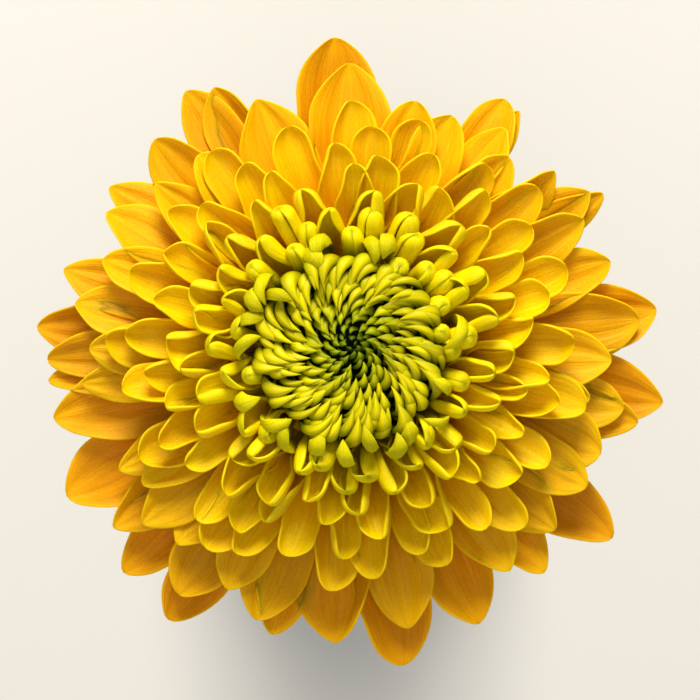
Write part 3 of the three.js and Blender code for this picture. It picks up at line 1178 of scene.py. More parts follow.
@dataclass(frozen=True)
class RayFlorets:
    """The ray florets: those on a golden-angle spiral, and the outermost petals.

    The sizes are those of the solids. A floret's tip lies on a dome whose height falls with the
    square of the reach, and its root sits in the receptacle.

    Attributes:
        count: florets on the spiral.
        spoons: how many of them are inner florets.
        beaks: how many of those stand over the bowl of young florets.
        first_quill: number up to which quills are taken as the form's first.
        overlap: how many of the florets after the inner ones may still be hoods or spoons.
        inner_reach: reach of the first, in mm.
        outer_reach: reach of the last, in mm.
        growth: power with which the reach grows with the number.
        turn: direction of the first, in degrees.
        inner_width: breadth of the first, in mm.
        widening: breadth gained from the first to the last, by the 1.5th power of the reach, in mm.
        dome_height: height of the dome over the receptacle's underside, in mm.
        dome_reach: reach at which the dome comes down to it, in mm.
    """

    count: int = 144
    spoons: int = 67
    beaks: int = 26
    first_quill: int = 10
    overlap: int = 14
    inner_reach: float = 19.8
    outer_reach: float = 47.0
    growth: float = 1.2
    turn: float = 8.0
    inner_width: float = 3.4
    widening: float = 5.2
    dome_height: float = 33.0
    dome_reach: float = 64.0

    def spiral_reach(self, number: float) -> float:
        """Reach of a spiral floret, which grows with a power of its number."""
        return mix(self.inner_reach, self.outer_reach, (number / (self.count - 1)) ** self.growth)

    def dome(self, reach: float) -> float:
        """Height of the dome of tips: dome_height·(1 - (reach / dome_reach)²)."""
        return self.dome_height * (1.0 - (reach / self.dome_reach) ** 2)

    def spiral(self) -> list[Floret]:
        """The florets of the spiral, one golden angle apart, each a little off the rule."""
        return [
            Floret(
                number,
                number * GOLDEN_ANGLE + math.radians(self.turn + 3.2 * wobble(number, RayDraw.AZIMUTH)),
                self.spiral_reach(number) + 0.9 * wobble(number, RayDraw.REACH),
                self.inner_width + self.widening * (number / (self.count - 1)) ** (1.5 * self.growth),
            )
            for number in range(self.count)
        ]

    def outermost(self) -> list[Floret]:
        """The outermost petals, numbered after the spiral."""
        return [
            Floret(self.count + place, math.radians(azimuth), reach, width)
            for place, (azimuth, reach, width) in enumerate(OUTER_PETALS)
        ]

    def form_of(self, floret: Floret) -> FloretForm:
        """The form of a floret, by its number, its side of the bloom and draws of its own.

        The beaks come first, with a few quills among them. Further out a floret is shut where 0.6 of
        the sine of its direction and half its draw, less 0.025 for each number past 34, come to
        more than 0.2, so mostly near +Y and the centre. Of the open ones hoods stand on the +Y side
        and spoons on the other, and all of them give way to cups.

        Args:
            floret: the floret.

        Returns:
            Its form.
        """
        draw = floret.draw(RayDraw.FORM)
        if floret.number < self.beaks:
            return FloretForm.BEAK if draw > -0.5 else FloretForm.QUILL
        if floret.number < self.spoons + self.overlap:
            upper = math.sin(floret.azimuth)
            shut = 0.6 * upper + 0.5 * draw - 0.025 * (floret.number - 34)
            if shut > 0.2:
                return FloretForm.QUILL
            hooded = upper + 0.5 * floret.draw(RayDraw.SIDE)
            return FloretForm.HOOD if hooded > 0.0 else FloretForm.SPOON
        return FloretForm.CUP if floret.number < self.count else FloretForm.PETAL

    def place_in_form(self, floret: Floret, form: FloretForm) -> float:
        """How far out a floret is among those of its form.

        Args:
            floret: the floret.
            form: its form.

        Returns:
            A share from 0 for the form's first number to 1 for its last.
        """
        ends = {
            FloretForm.QUILL: (self.first_quill, self.spoons),
            FloretForm.HOOD: (self.beaks, self.spoons + self.overlap),
            FloretForm.SPOON: (self.beaks, self.spoons + self.overlap),
            FloretForm.CUP: (self.spoons, self.count),
            FloretForm.PETAL: (self.count, self.count + len(OUTER_PETALS)),
        }
        first, last = ends[form]
        return float(np.clip((floret.number - first) / (last - first), 0.0, 1.0))

    def marks_of(self, floret: Floret) -> dict[str, float]:
        """The marks of a floret: its age by its reach, and a number of its own."""
        age = (floret.reach - self.inner_reach) / (LONGEST - self.inner_reach)
        return {"age": float(np.clip(age, 0.0, 1.0)), "seed": 0.5 + 0.5 * floret.draw(RayDraw.SEED)}

    def beak(self, floret: Floret) -> Surface:
        """A beak: a stalk that rises outside the bowl of young florets and bends its head in over it.

        Its spine heads for a point 6.4 mm over the dome, and ends 2.4 mm over it and about 5 mm
        further in than its reach.

        Args:
            floret: the floret.

        Returns:
            Its skin.
        """
        along = tip_shares(20, 1.3)
        top = self.dome(floret.reach) + floret.draw(RayDraw.HEIGHT)
        spine = Spine(
            (
                INNER_WHORL.roots[0],
                (floret.reach - 1.5, 22.0),
                (floret.reach + 0.8, top + 6.4),
                (floret.reach - 5.0 - 0.9 * floret.draw(RayDraw.SLOPE), top + 2.4),
            )
        )
        widest = floret.width / 2 * (0.95 + 0.18 * floret.draw(RayDraw.WIDTH))
        scale = Scale(
            along=along,
            half=outline(along, 0.9, widest, 0.74, 0.1),
            keel=0.75,
            sharpness=2.2,
            roll=0.6 * floret.draw(RayDraw.ROLL),
            azimuth=floret.azimuth + 0.3 * floret.draw(RayDraw.SWAY) * along**2,
        )
        return scale.skin(spine, 12, self.marks_of(floret) | {"along": 1.0, "age": 0.0})

    def spine(self, floret: Floret) -> Spine:
        """Spine of a floret that isn't a beak, from the receptacle to the dome.

        The whorl's numbers are blended by the floret's share of the way out through its whorl.

        Args:
            floret: the floret.

        Returns:
            The spine.
        """
        border = self.spiral_reach(self.spoons)
        if floret.number < self.spoons:
            whorl = INNER_WHORL
            share = (floret.reach - self.inner_reach) / (border - self.inner_reach)
        else:
            whorl = OUTER_WHORL
            share = max(0.0, (floret.reach - border) / (LONGEST - border))
        radius, level = (mix(*ends, share) for ends in zip(*whorl.roots))
        height = self.dome(floret.reach) - mix(*whorl.sunk, share)
        height += whorl.height_stray * floret.draw(RayDraw.HEIGHT)
        arriving = mix(*whorl.arriving, share) + whorl.slope_stray * floret.draw(RayDraw.SLOPE)
        return Spine.between((radius, level), (floret.reach, height), mix(*whorl.leaving, share), arriving)

    def skin(self, floret: Floret) -> Surface:
        """One floret's skin, in the form that it has opened into.

        The half-breadth is that which makes the floret as wide as its place asks where it is widest.
        The middle rises towards the tip, as the breadth dies out, by a share of the rims' height,
        which closes the end like the stern of a boat. The outermost petals keep the places that the
        photo shows, and only the florets of the spiral stray in breadth and to the side.

        Args:
            floret: the floret.

        Returns:
            The skin.
        """
        form = self.form_of(floret)
        if form is FloretForm.BEAK:
            return self.beak(floret)
        shape = FLORET_SHAPES[form]
        along = tip_shares(shape.rows, 1.6)
        across = np.linspace(-1.0, 1.0, shape.columns)
        place = self.place_in_form(floret, form)
        shoulder = shape.shoulder + 0.05 * floret.draw(RayDraw.SHOULDER)
        curl = self._curl(floret, shape, place, along)
        there = float(np.interp(shoulder, along, curl))
        loose = 0.0 if form is FloretForm.PETAL else 1.0
        width = floret.width * (1.1 + loose * (0.12 * floret.draw(RayDraw.WIDTH) - 0.1))
        widest = width / 2 * there / math.sin(min(there, math.pi / 2))
        roundness = float(np.clip(shape.roundness + 0.16 * floret.draw(RayDraw.ROUNDNESS), 0.0, 1.0))
        breadth = outline(along, shape.claw, widest, shoulder, roundness)
        rims = widest / there * (1.0 - math.cos(there))
        closing = (1.0 - breadth / breadth.max()) * smoothstep(shoulder - 0.05, 1.0, along)
        side = np.sign(across) * smoothstep(0.2, 0.75, along)[:, None]
        draw = floret.draw(RayDraw.FOLD)
        fold = shape.fold * math.copysign(abs(draw) ** 0.6, draw)
        edges = np.abs(across) ** 4 * smoothstep(0.2, 0.85, along)[:, None]
        tilt = math.radians(mix(24.0, 8.0, place)) * floret.draw(RayDraw.ROLL)
        blade = Blade(
            along=along,
            across=across,
            breadth=breadth[:, None] * (1.0 + shape.skew * floret.draw(RayDraw.SKEW) * side),
            curl=np.minimum(curl[:, None] * (1.0 + fold * side), FURTHEST_FOLD),
            lift=shape.hood * rims * closing,
            thickness=mix(*shape.thickness, edges),
            relief=self._relief(floret, shape, along, across),
            roll=tilt + 0.25 * along * floret.draw(RayDraw.TWIST),
            sway=1.4 * loose * along**2 * floret.draw(RayDraw.SWAY),
        )
        return blade.skin(self.spine(floret), floret.azimuth, self.marks_of(floret))

    @staticmethod
    def _curl(floret: Floret, shape: FloretShape, place: float, along: Array) -> Array:
        """Half-angles of the arc, by smooth steps from a tube's to the opening and on to the closing.

        Args:
            floret: the floret.
            shape: the numbers behind its form.
            place: how far out it is among those of its form.
            along: n shares from root to tip.

        Returns:
            n angles, in radians.
        """
        stray = shape.spread * floret.draw(RayDraw.OPENING)
        opened, closed = (math.radians(mix(*ends, place) + stray) for ends in (shape.opening, shape.closing))
        curl = mix(TUBE, opened, smoothstep(shape.opens_at, shape.opens_at + 0.4, along))
        return mix(curl, closed, smoothstep(0.55, 0.95, along))

    @staticmethod
    def _relief(floret: Floret, shape: FloretShape, along: Array, across: Array) -> Array:
        """Grooves and ripples of a blade, which die out at the tip.

        The grooves are a cosine of one and a half waves across it, deepest past the middle, and the
        ripple is a sine of two waves along its edges.

        Args:
            floret: the floret.
            shape: the numbers behind its form.
            along: n shares from root to tip.
            across: m shares from -1 to 1.

        Returns:
            n by m heights, in mm.
        """
        folds = shape.groove * np.cos(3.0 * np.pi * across)
        grooves = folds[None, :] * smoothstep(0.3, 0.7, along)[:, None]
        phase = math.pi * floret.draw(RayDraw.PHASE)
        wave = np.sin(4.0 * np.pi * along[:, None] + phase + across[None, :])
        ripple = shape.ripple * wave * np.abs(across)[None, :] ** 3 * smoothstep(0.4, 0.8, along)[:, None]
        return (grooves + ripple) * (1.0 - smoothstep(0.9, 1.0, along))[:, None]

    def build(self) -> None:
        """Makes the three pieces, two of them on the core that the florets grow from."""
        gold = GOLDEN_PETAL.material()
        lemon = LEMON_PETAL.material()
        spiral = self.spiral()
        hidden = {"along": 0.0, "across": 0.0, "face": 1.0, "rim": 0.0, "age": 0.2, "seed": 0.5}
        spoon_core = turned([(18.0, 11.4), (18.0, 14.4), (16.8, 16.5)], 48, hidden)
        petal_core = turned([(9.5, 0.2), (15, 2.4), (19.5, 6.6), (20.5, 11.0), (18.6, 10.4)], 48, hidden)
        groups = (
            ("spoon_florets", spiral[: self.spoons], [spoon_core], lemon, "lemon_petal", "inner_ray_florets"),
            ("cupped_florets", spiral[self.spoons :], [], gold, "golden_petal", "outer_ray_florets"),
            ("outer_petals", self.outermost(), [petal_core], gold, "golden_petal", "outer_ray_florets"),
        )
        for name, florets, core, material, slot, node in groups:
            surface = raised(joined([self.skin(floret) for floret in florets] + core))
            dress(make_piece(name, surface, material), slot, node)


class YoungDraw(IntEnum):
    """Which departure of a young floret from the rule is drawn."""

    HEIGHT = 2
    WIDTH = 3
    ROLL = 4
    LEAN = 5
    SEED = 6
    OVERHANG = 7
    AZIMUTH = 8


@dataclass(frozen=True)
class CentreFlorets:
    """The bowl of young florets, which arch in over the middle and lean round a swirl.

    Roots follow a golden-angle spiral that thins out from the middle: the radius grows with the 0.6th
    power of the number.

    Attributes:
        count: how many there are.
        root_radius: radius of the outermost root, in mm.
        floor: height of the roots in the middle and at the rim, in mm.
        swell: how far outside the root the second and the third control point of the outermost
            spine lie, in mm.
        bulge: rise of the second control point over the floor there, in mm.
        crown: rise of the third control point over the floor there, in mm.
        tip: rise of the tip over the floor there, in mm.
        overhang: how far the outermost tip lies in from its root, in mm.
        width: breadth in the middle and at the rim, in mm.
        lean: turn of the tip beyond the root in the middle and at the rim, in degrees.
        hollow: where the middle of the swirl lies, in mm.
        rows: rings of points along a floret.
        sides: points round each ring.
    """

    count: int = 230
    root_radius: float = 15.2
    floor: Point = (23.4, 24.2)
    swell: Point = (2.6, 4.2)
    bulge: Point = (3.0, 4.5)
    crown: Point = (5.6, 8.6)
    tip: Point = (5.6, 7.2)
    overhang: float = 2.6
    width: Point = (1.75, 3.7)
    lean: Point = (28.0, 15.0)
    hollow: Point = (0.4, 1.1)
    rows: int = 11
    sides: int = 8

    def skin(self, number: int) -> Surface:
        """One young floret's closed skin.

        Its share of the way out is the square root of its number's, and the spine swells outwards
        and up before it arches in.

        Args:
            number: its number, counted outwards.

        Returns:
            The skin.
        """
        share = math.sqrt((number + 0.5) / self.count)
        root = self.root_radius * share**1.2
        floor = mix(*self.floor, share**2)
        height = 0.8 * wobble(number, YoungDraw.HEIGHT)
        inward = self.overhang * share * (1.0 + 0.35 * wobble(number, YoungDraw.OVERHANG))
        spine = Spine(
            (
                (root, floor - 0.9),
                (root + self.swell[0] * share, floor + mix(*self.bulge, share)),
                (root + self.swell[1] * share, floor + mix(*self.crown, share) + height),
                (root - inward, floor + mix(*self.tip, share) + height),
            )
        )
        along = tip_shares(self.rows, 1.2)
        widest = mix(*self.width, share) / 2 * (1.0 + 0.25 * wobble(number, YoungDraw.WIDTH))
        lean = math.radians(mix(*self.lean, share)) * (1.0 + 0.5 * wobble(number, YoungDraw.LEAN))
        start = -number * GOLDEN_ANGLE + 0.08 * wobble(number, YoungDraw.AZIMUTH)
        scale = Scale(
            along=along,
            half=outline(along, 0.4 * widest, widest, 0.55, 0.0),
            keel=0.7,
            sharpness=1.6,
            roll=0.45 * wobble(number, YoungDraw.ROLL) - 0.25,
            azimuth=start + lean * along**1.5,
            middle=(self.hollow[0] * (1.0 - share**2), self.hollow[1] * (1.0 - share**2)),
        )
        seed = 0.5 + 0.5 * wobble(number, YoungDraw.SEED)
        return scale.skin(spine, self.sides, {"age": share, "seed": seed})

    def build(self) -> None:
        """Makes the bowl of young florets on its green base."""
        profile = [(14.0, 17.4), (15.4, 21.0), (15.0, 24.4), (11.4, 24.0), (5.6, 23.0), (0.4, 22.6)]
        base = turned(profile, 48, {"along": 0.0, "across": 0.0, "ridge": 0.0, "age": 0.0, "seed": 0.5})
        surface = raised(joined([base] + [self.skin(number) for number in range(self.count)]))
        piece = make_piece("young_florets", surface, YOUNG_FLORET.material())
        smooth = piece.modifiers.new("smooth", "SUBSURF")
        smooth.levels = smooth.render_levels = 1
        dress(piece, "lime_petal", "centre_florets")


class BractDraw(IntEnum):
    """Which departure of a bract from the rule is drawn."""

    WIDTH = 1
    ROLL = 2
    SWAY = 3
    AZIMUTH = 4


@dataclass(frozen=True)
class Involucre:
    """The green cup under the bloom, with overlapping rows of bracts.

    Attributes:
        per_row: bracts in a row.
        rows: for each row its root and tip as (radius, height), its slopes at both in degrees, and
            its breadth in mm.
    """

    per_row: int = 13
    rows: tuple[tuple[Point, Point, float, float, float], ...] = (
        ((4.6, -6.6), (13.9, -0.9), 46.0, 16.0, 4.8),
        ((4.0, -7.2), (12.2, -2.6), 40.0, 30.0, 4.6),
        ((3.0, -7.9), (9.8, -4.8), 30.0, 42.0, 4.2),
    )

    def bract(self, row: int, place: int) -> Surface:
        """One bract's skin: an oblong blade with a shallow cup and a keel down its middle.

        Args:
            row: its row, counted from the top.
            place: its place in the row.

        Returns:
            The skin, with the marks rib and rim.
        """
        root, tip, leaving, arriving, width = self.rows[row]
        number = row * self.per_row + place
        along = np.linspace(0.0, 1.0, 12)
        across = np.linspace(-1.0, 1.0, 7)
        ones = np.ones_like(along)
        widest = width / 2 * (1.0 + 0.08 * wobble(number, BractDraw.WIDTH))
        blade = Blade(
            along=along,
            across=across,
            breadth=outline(along, 1.2, widest, 0.5, 0.6)[:, None],
            curl=ones[:, None] * math.radians(34.0),
            lift=0.0 * ones,
            thickness=np.full((len(along), len(across)), 0.6),
            relief=np.outer(smoothstep(0.0, 0.5, along), 0.25 * (1.0 - np.abs(across)) ** 2),
            roll=ones * math.radians(5.0) * wobble(number, BractDraw.ROLL),
            sway=along**2 * 0.4 * wobble(number, BractDraw.SWAY),
        )
        turns = (place + 0.5 * (row % 2) + 0.06 * wobble(number, BractDraw.AZIMUTH)) / self.per_row
        skin = blade.skin(Spine.between(root, tip, leaving, arriving), turns * 2.0 * math.pi, {})
        return replace(skin, marks={"rib": 1.0 - np.abs(skin.marks["across"]), "rim": skin.marks["rim"]})

    def build(self) -> None:
        """Makes the cup with its bracts."""
        profile = [(0.5, -8.7), (3.0, -8.6), (5.6, -6.8), (9.0, -3.4), (10.4, -0.4)]
        cup = turned(profile, 52, {"rib": 0.3, "rim": 0.0})
        bracts = [self.bract(row, place) for row in range(len(self.rows)) for place in range(self.per_row)]
        surface = raised(joined([cup, *bracts]))
        dress(make_piece("bract_cup", surface, BRACT_SKIN.material()), "bract_green", "involucre")


# Stem and leaves


@dataclass(frozen=True)
class Stem:
    """The cut stem: a ribbed tube along the solids' own path.

    Attributes:
        radius: radius over the ribs, in mm.
        ribs: how many ribs run along it.
        groove: depth between them, in mm.
        knots: points that its centre line passes, in mm.
        nodes: heights of the leaves, where it swells a little, in mm.
    """

    radius: float = 2.4
    ribs: int = 9
    groove: float = 0.28
    knots: tuple[tuple[float, float, float], ...] = (
        (-10, -3, 6.5), (-3.6, -1.2, 52), (5.3, 1.2, 104), (6.9, 1.5, 130),
        (5.2, 1.2, 152), (1.6, 0.4, 178), (0, 0, 196),
    )
    nodes: tuple[float, ...] = (137.0, 151.0, 164.0, 177.0)

    def line(self, samples: int = 240) -> Array:
        """Points of the centre line."""
        return stem_line(np.array(self.knots, float), samples)

    def at(self, height: float) -> Array:
        """The point of the centre line at a height."""
        line = self.line()
        return np.array([np.interp(height, line[:, 2], line[:, axis]) for axis in range(3)])

    def build(self) -> None:
        """Makes the stem of rings square to its line.

        Their radius falls by a cosine between ribs, and swells by up to 7% in a bell of 3 mm at each
        node.
        """
        line = self.line()
        tangent = unit(np.gradient(line, axis=0))
        side = unit(np.cross(tangent, [0.0, 1.0, 0.0]))
        other = np.cross(tangent, side)
        turn = np.linspace(0.0, 2.0 * np.pi, self.ribs * 6, endpoint=False)
        rib = 0.5 + 0.5 * np.cos(self.ribs * turn)
        heights = np.array(self.nodes)[None, :]
        swell = np.exp(-(((line[:, 2:3] - heights) / 3.0) ** 2)).sum(1)
        radius = (self.radius - self.groove * (1.0 - rib))[None, :] * (1.0 + 0.07 * swell)[:, None]
        rings = (
            line[:, None, :]
            + radius[..., None] * np.cos(turn)[None, :, None] * side[:, None, :]
            + radius[..., None] * np.sin(turn)[None, :, None] * other[:, None, :]
        )
        skin = closed_skin(rings, {"rib": rib[None, :], "rim": 0.0})
        dress(make_piece("ribbed_stem", skin, STEM_SKIN.material()), "stem_green", "stem")


@dataclass(frozen=True)
class Leaf:
    """A lobed leaf on its petiole.

    Attributes:
        number: which of the CAD leaves it stands for.
        height: where it grows on the stem, in mm.
        azimuth: its direction, in degrees.
        length: its length, in mm.
        breadth: its widest breadth, in mm.
    """

    number: int
    height: float
    azimuth: float
    length: float
    breadth: float

    # Share of the length and share of the breadth: petiole, two pairs of lobes, tip lobe.
    OUTLINE: ClassVar[tuple[Point, ...]] = (
        (0, 0.09), (0.17, 0.08), (0.22, 0.42), (0.29, 0.66), (0.35, 0.36), (0.43, 0.56),
        (0.53, 1), (0.6, 0.46), (0.68, 0.52), (0.77, 0.78), (0.85, 0.46), (0.93, 0.36), (1, 0),
    )
    LOBES: ClassVar[tuple[float, ...]] = (0.29, 0.53, 0.77)

    # Number of teeth along a margin, and which of the leaf's departures from the rule is its sway.
    TEETH: ClassVar[int] = 17
    SWAY_DRAW: ClassVar[int] = 1

    def build(self, stem: Stem, material: bpy.types.Material) -> None:
        """Makes the leaf: an arched blade with its lobes swept forward.

        The sweep moves a point outwards by up to 0.45 of its distance from the midrib, and dies out
        in the petiole and at the tip.

        Args:
            stem: the stem that it grows on.
            material: its finish.
        """
        along = np.linspace(0.0, 1.0, 84)
        across = np.linspace(-1.0, 1.0, 25)
        vein = self._veins(along, across)
        start = stem.radius / 2
        tip = (start + 0.8 * self.length, 0.34 * self.length)
        spine = Spine.between((start, 0.0), tip, 62.0, -14.0)
        veins = np.concatenate([vein, vein[:, -1:], vein[:, ::-1], vein[:, :1]], 1)
        skin = self._blade(along, across, vein).skin(spine, 0.0, {"vein": veins})
        points = skin.points.copy()
        sweep = 0.45 * np.abs(points[:, 1]) * smoothstep(0.18, 0.4, skin.marks["along"])
        points[:, 0] += sweep * (1.0 - smoothstep(0.8, 1.0, skin.marks["along"]))
        azimuth = math.radians(self.azimuth)
        cos, sin = math.cos(azimuth), math.sin(azimuth)
        turn = np.array([[cos, -sin, 0], [sin, cos, 0], [0, 0, 1]])
        marks = {name: skin.marks[name] for name in ("face", "vein")}
        surface = replace(skin, points=points @ turn.T + stem.at(self.height), marks=marks)
        dress(make_piece(f"lobed_leaf_{self.number}", surface, material), "leaf_green", f"leaf_{self.number}")

    def _blade(self, along: Array, across: Array, vein: Array) -> Blade:
        """The blade, thickest in the petiole.

        Its veins lie 0.3 mm lower than the rest, which puckers by a sine of four and a half waves
        between the midrib and the margins.

        Args:
            along: n shares from root to tip.
            across: m shares from -1 to 1.
            vein: n by m shares of vein.

        Returns:
            The blade.
        """
        ones = np.ones_like(along)
        sides = (np.abs(across) * (1 - np.abs(across)))[None, :]
        pucker = 0.35 * np.sin(9.0 * np.pi * along)[:, None] * sides
        petiole = mix(0.7, 0.0, smoothstep(0.1, 0.24, along))[:, None]
        return Blade(
            along=along,
            across=across,
            breadth=self._breadths(along)[:, None],
            curl=ones[:, None] * math.radians(24.0),
            lift=0.0 * ones,
            thickness=np.full((len(along), len(across)), 0.55) + petiole,
            relief=-0.3 * vein + pucker * smoothstep(0.2, 0.35, along)[:, None],
            roll=ones * 0.0,
            sway=0.8 * np.sin(1.5 * np.pi * along) * wobble(self.number, self.SWAY_DRAW),
        )

    def _breadths(self, along: Array) -> Array:
        """Half-breadths: the outline rounded off by a bell-shaped window, with teeth along it.

        The teeth are the absolute value of a sine, 7% of the half-breadth high.

        Args:
            along: n shares from root to tip.

        Returns:
            n half-breadths, in mm.
        """
        shares, breadths = np.array(self.OUTLINE).T
        fine = np.linspace(0.0, 1.0, 400)
        window = np.hanning(17)
        smooth = np.convolve(np.interp(fine, shares, breadths), window / window.sum(), "same")
        teeth = 0.07 * np.abs(np.sin(np.pi * self.TEETH * along)) * smoothstep(0.2, 0.3, along)
        breadth = self.breadth / 2 * (np.interp(along, fine, smooth) + teeth * (along < 0.98)) + 0.3
        return breadth * (1.0 - smoothstep(0.97, 1.0, along) * 0.8)

    def _veins(self, along: Array, across: Array) -> Array:
        """How much each point is vein: a bell round the midrib, and one round each side vein.

        A side vein leaves the midrib 0.13 of the length before a lobe and reaches the lobe's tip.

        Args:
            along: n shares from root to tip.
            across: m shares from -1 to 1.

        Returns:
            n by m shares from 0 to 1.
        """
        total = np.exp(-((across[None, :] / 0.07) ** 2)) * np.ones_like(along)[:, None]
        for lobe in self.LOBES:
            line = lobe - 0.13 * (1.0 - np.abs(across)[None, :])
            total = np.maximum(total, 0.8 * np.exp(-(((along[:, None] - line) / 0.011) ** 2)))
        return np.clip(total, 0.0, 1.0)


# Vase and water


@dataclass(frozen=True)
class Vase:
    """The bud vase, with the same profile as the solid.

    Attributes:
        height: height of the lip, in mm.
        foot_radius: radius of the foot, in mm.
        foot_chamfer: size of its chamfer, in mm.
        belly_radius: widest radius, in mm.
        belly_height: height of the widest place, in mm.
        neck_radius: narrowest radius, in mm.
        neck_height: height of the narrowest place, in mm.
        lip_radius: radius at the lip, in mm.
        wall: thickness of the wall, in mm.
        floor: thickness of the floor, in mm.
        water_level: height of the water, in mm.
    """

    height: float = 126.0
    foot_radius: float = 23.0
    foot_chamfer: float = 1.3
    belly_radius: float = 33.0
    belly_height: float = 44.0
    neck_radius: float = 12.0
    neck_height: float = 104.0
    lip_radius: float = 15.0
    wall: float = 3.2
    floor: float = 6.0
    water_level: float = 82.0

    # How far up and down the curve of the side is blended, and the water's rise at the wall, in mm.
    BLENDING: ClassVar[float] = 6.0
    MENISCUS: ClassVar[float] = 0.6

    def radius(self, height: Array) -> Array:
        """Outer radius of the vase.

        It follows a quarter sine from the foot to the belly, a smooth step in to the neck, and the
        square of the height above the neck out to the lip.

        Args:
            height: heights, in mm.

        Returns:
            Their radii, in mm.
        """
        swelling = mix(self.foot_radius, self.belly_radius, np.sin(np.pi / 2 * height / self.belly_height))
        drawn_in = mix(
            self.belly_radius, self.neck_radius, smoothstep(self.belly_height, self.neck_height, height)
        )
        flare = ((height - self.neck_height) / (self.height - self.neck_height)) ** 2
        opening = mix(self.neck_radius, self.lip_radius, flare)
        return np.where(
            height < self.belly_height, swelling, np.where(height < self.neck_height, drawn_in, opening)
        )

    def side(self, bottom: float, top: float, steps: int, inset: float) -> list[Point]:
        """Points of the side between two heights, set in from the outer face.

        A radius is the mean of those nearby, as a smooth throw leaves no break between its curves.

        Args:
            bottom: the lower height, in mm.
            top: the upper height, in mm.
            steps: how many points are wanted.
            inset: how far they lie in from the outer face, in mm.

        Returns:
            The points as (radius, height).
        """
        heights = np.linspace(bottom, top, steps)
        around = np.linspace(-self.BLENDING, self.BLENDING, 9)[:, None]
        return list(zip(self.radius(heights + around).mean(0) - inset, heights))

    def build(self) -> None:
        """Makes the vase, with its lip rounded by a half circle as wide as the wall."""
        top = self.height - self.wall / 2
        turn = np.linspace(0.0, np.pi, 9)[1:-1]
        centre = self.lip_radius - self.wall / 2
        lip = list(zip(centre + self.wall / 2 * np.cos(turn), top + self.wall / 2 * np.sin(turn)))
        foot = [(0.3, 0.0), (self.foot_radius - self.foot_chamfer, 0.0), (self.foot_radius - 0.4, 0.4)]
        outside = self.side(self.foot_chamfer, top, 60, 0.0)
        inside = self.side(self.floor + 1.5, top, 40, self.wall)[::-1]
        corner = inside[-1][0]
        bottom = [(corner - 1.2, self.floor + 0.4), (corner - 4.0, self.floor), (0.3, self.floor)]
        surface = turned([*foot, *outside, *lip, *inside, *bottom], 96, {})
        dress(make_piece("glazed_vase", surface, VASE_GLAZE.material()), "vase_glaze", "vase")

    def fill(self) -> None:
        """Makes the water, whose surface climbs at the wall by an exponential that dies out inwards."""
        inset = self.wall + GAP
        side = self.side(self.floor + GAP, self.water_level, 24, inset)
        edge = side[-1][0]
        radii = np.linspace(edge - 0.3, 0.3, 12)
        climb = self.MENISCUS * np.exp(-((edge - radii) / 1.2))
        top = list(zip(radii, self.water_level - self.MENISCUS + climb))
        surface = turned([(0.3, self.floor + GAP), *side, *top], 72, {})
        dress(make_piece("still_water", surface, CLEAR_WATER.material()), "water", "water")


# The finishes of this object

PETAL_BLADES: Stops = (
    (0.0, "#dcd000"), (0.1, "#f8dc00"), (0.28, "#ffdc00"), (0.65, "#ffc400"), (1.0, "#dc9600"),
)
# Colours of the painted highlight along the petals' rims and tips, by age.
PETAL_RIM_HIGHLIGHTS: Stops = (
    (0.0, "#ece010"), (0.15, "#f6de00"), (0.35, "#ffd800"), (0.7, "#ffcc00"), (1.0, "#fcb800"),
)

GOLDEN_PETAL = PetalTissue("golden_petal_tissue", PETAL_BLADES, PETAL_RIM_HIGHLIGHTS, "#f8cc40", "#f6cc20")
LEMON_PETAL = PetalTissue("lemon_petal_tissue", PETAL_BLADES, PETAL_RIM_HIGHLIGHTS, "#f8d848", "#f2d600")
YOUNG_FLORET = YoungTissue(
    "young_floret_tissue",
    ((0.0, "#4c6010"), (0.16, "#7c9008"), (0.38, "#b8bc00"), (0.66, "#e4d400"), (1.0, "#f2de00")),
    "#4a5a06",
    "#a0b048",
)
LEAF_BLADE = LeafTissue("leaf_blade", "#466628", "#7f9465", "#93a868")
STEM_SKIN = GreenSkin("stem_skin", "#5d7a34", "#8aa257", "#a9b07c")
BRACT_SKIN = GreenSkin("bract_skin", "#5f7f34", "#7d9a49", "#a98f5a")
VASE_GLAZE = StonewareGlaze(
    name="slate_glaze",
    glaze="#1f292f",
    pool="#46565d",
    speck="#8b979a",
    thin="#5e4a38",
    clay="#b39b7f",
    bare_to=2.6,
    lip_at=Vase.height,
)
CLEAR_WATER = StillWater("clear_water", "#f2fbfa")
FLOOR_PAPER = StudioPaper("studio_paper", "#e9e6df")

LEAVES = (
    Leaf(1, 137.0, 205.0, 57.0, 31.0),
    Leaf(2, 151.0, 338.0, 48.0, 28.0),
    Leaf(3, 164.0, 92.0, 46.0, 26.0),
    Leaf(4, 177.0, 232.0, 37.0, 20.0),
)


# Studio


@dataclass(frozen=True)
class SoftLight:
    """A square area light that looks at the bloom.

    Attributes:
        name: the light's name.
        azimuth: where it stands, in degrees anticlockwise from +X.
        elevation: its height above the horizon of the bloom, in degrees.
        distance: how far off it is, in metres.
        size: length of its side, in metres.
        power: its power, in watts.
        colour: its colour.
    """

    name: str
    azimuth: float
    elevation: float
    distance: float
    size: float
    power: float
    colour: str

    def build(self, target: Array) -> None:
        """Adds the light, turned towards the target.

        Args:
            target: the point that it looks at, in metres.
        """
        turn, rise = math.radians(self.azimuth), math.radians(self.elevation)
        away = np.array([math.cos(turn) * math.cos(rise), math.sin(turn) * math.cos(rise), math.sin(rise)])
        data = bpy.data.lights.new(self.name, "AREA")
        data.energy = self.power
        data.size = self.size
        data.color = linear(self.colour)[:3]
        light = bpy.data.objects.new(self.name, data)
        light.location = target + away * self.distance
        light.rotation_mode = "QUATERNION"
        light.rotation_quaternion = Vector(away).to_track_quat("Z", "Y")
        bpy.context.scene.collection.objects.link(light)


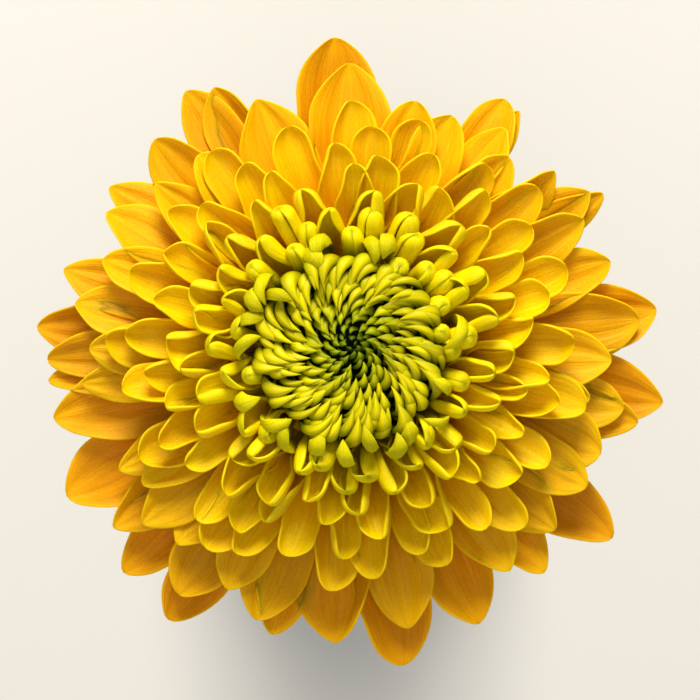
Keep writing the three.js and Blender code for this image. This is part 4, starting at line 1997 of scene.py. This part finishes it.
@dataclass(frozen=True)
class Studio:
    """Pale floor, soft light and the photograph's camera, which looks straight down on the bloom.

    Attributes:
        pixel: real size of a pixel of the photograph at the petals, in mm.
        distance: from the camera to the outer petals, in mm.
        sensor: width of the camera's sensor, in mm.
        floor_side: side of the floor, in metres.
        aim: height over the receptacle's underside that the lights look at, in mm.
        petals: height over it that the camera's distance is taken from, in mm.
        sky: colour of the light from all round.
        sky_strength: its strength.
    """

    pixel: float = 0.19
    distance: float = 760.0
    sensor: float = 36.0
    floor_side: float = 6.0
    aim: float = 15.0
    petals: float = 5.0
    sky: str = "#f1f3f6"
    sky_strength: float = 0.35

    LIGHTS: ClassVar[tuple[SoftLight, ...]] = (
        SoftLight("key_light", 90.0, 38.0, 0.9, 0.4, 11.2, "#fffaf0"),
        SoftLight("overhead_fill", 250.0, 72.0, 1.1, 0.9, 2.2, "#ffffff"),
        SoftLight("front_fill", 262.0, 18.0, 1.4, 1.0, 1.8, "#fdfdff"),
    )

    def build(self) -> None:
        """Makes the floor, the lights, the world and the camera."""
        self._floor()
        target = np.array([0.0, 0.0, (BLOOM_BASE + self.aim) * MM])
        for light in self.LIGHTS:
            light.build(target)
        world = bpy.data.worlds.new("studio")
        world.use_nodes = True
        background = world.node_tree.nodes["Background"]
        background.inputs["Color"].default_value = linear(self.sky)
        background.inputs["Strength"].default_value = self.sky_strength
        bpy.context.scene.world = world
        bpy.context.scene.view_settings.view_transform = "Standard"
        self._camera()

    def _floor(self) -> None:
        """Lays a flat square at the height of the vase's foot, which stays out of the part."""
        half = self.floor_side / 2
        mesh = bpy.data.meshes.new("floor")
        corners = [(-half, -half, 0.0), (half, -half, 0.0), (half, half, 0.0), (-half, half, 0.0)]
        mesh.from_pydata(corners, [], [(0, 1, 2, 3)])
        mesh.materials.append(FLOOR_PAPER.material())
        floor = bpy.data.objects.new("floor", mesh)
        bpy.context.scene.collection.objects.link(floor)

    def _camera(self) -> None:
        """Sets the camera straight above the bloom, with the photograph's size of a pixel at the petals."""
        data = bpy.data.cameras.new("camera")
        data.sensor_width = self.sensor
        data.lens = self.sensor * self.distance / (PHOTO_SIDE * self.pixel)
        camera = bpy.data.objects.new("camera", data)
        camera.location = (0.0, 0.0, (BLOOM_BASE + self.petals + self.distance) * MM)
        bpy.context.scene.collection.objects.link(camera)
        bpy.context.scene.camera = camera


def main() -> None:
    """Builds the studio and every piece of the flower and its vase."""
    logging.basicConfig(level=logging.INFO, format="%(message)s")
    Studio().build()
    stem = Stem()
    vase = Vase()
    vase.build()
    vase.fill()
    stem.build()
    leaf_material = LEAF_BLADE.material()
    for leaf in LEAVES:
        leaf.build(stem, leaf_material)
    Involucre().build()
    RayFlorets().build()
    CentreFlorets().build()


if __name__ == "__main__":
    main()
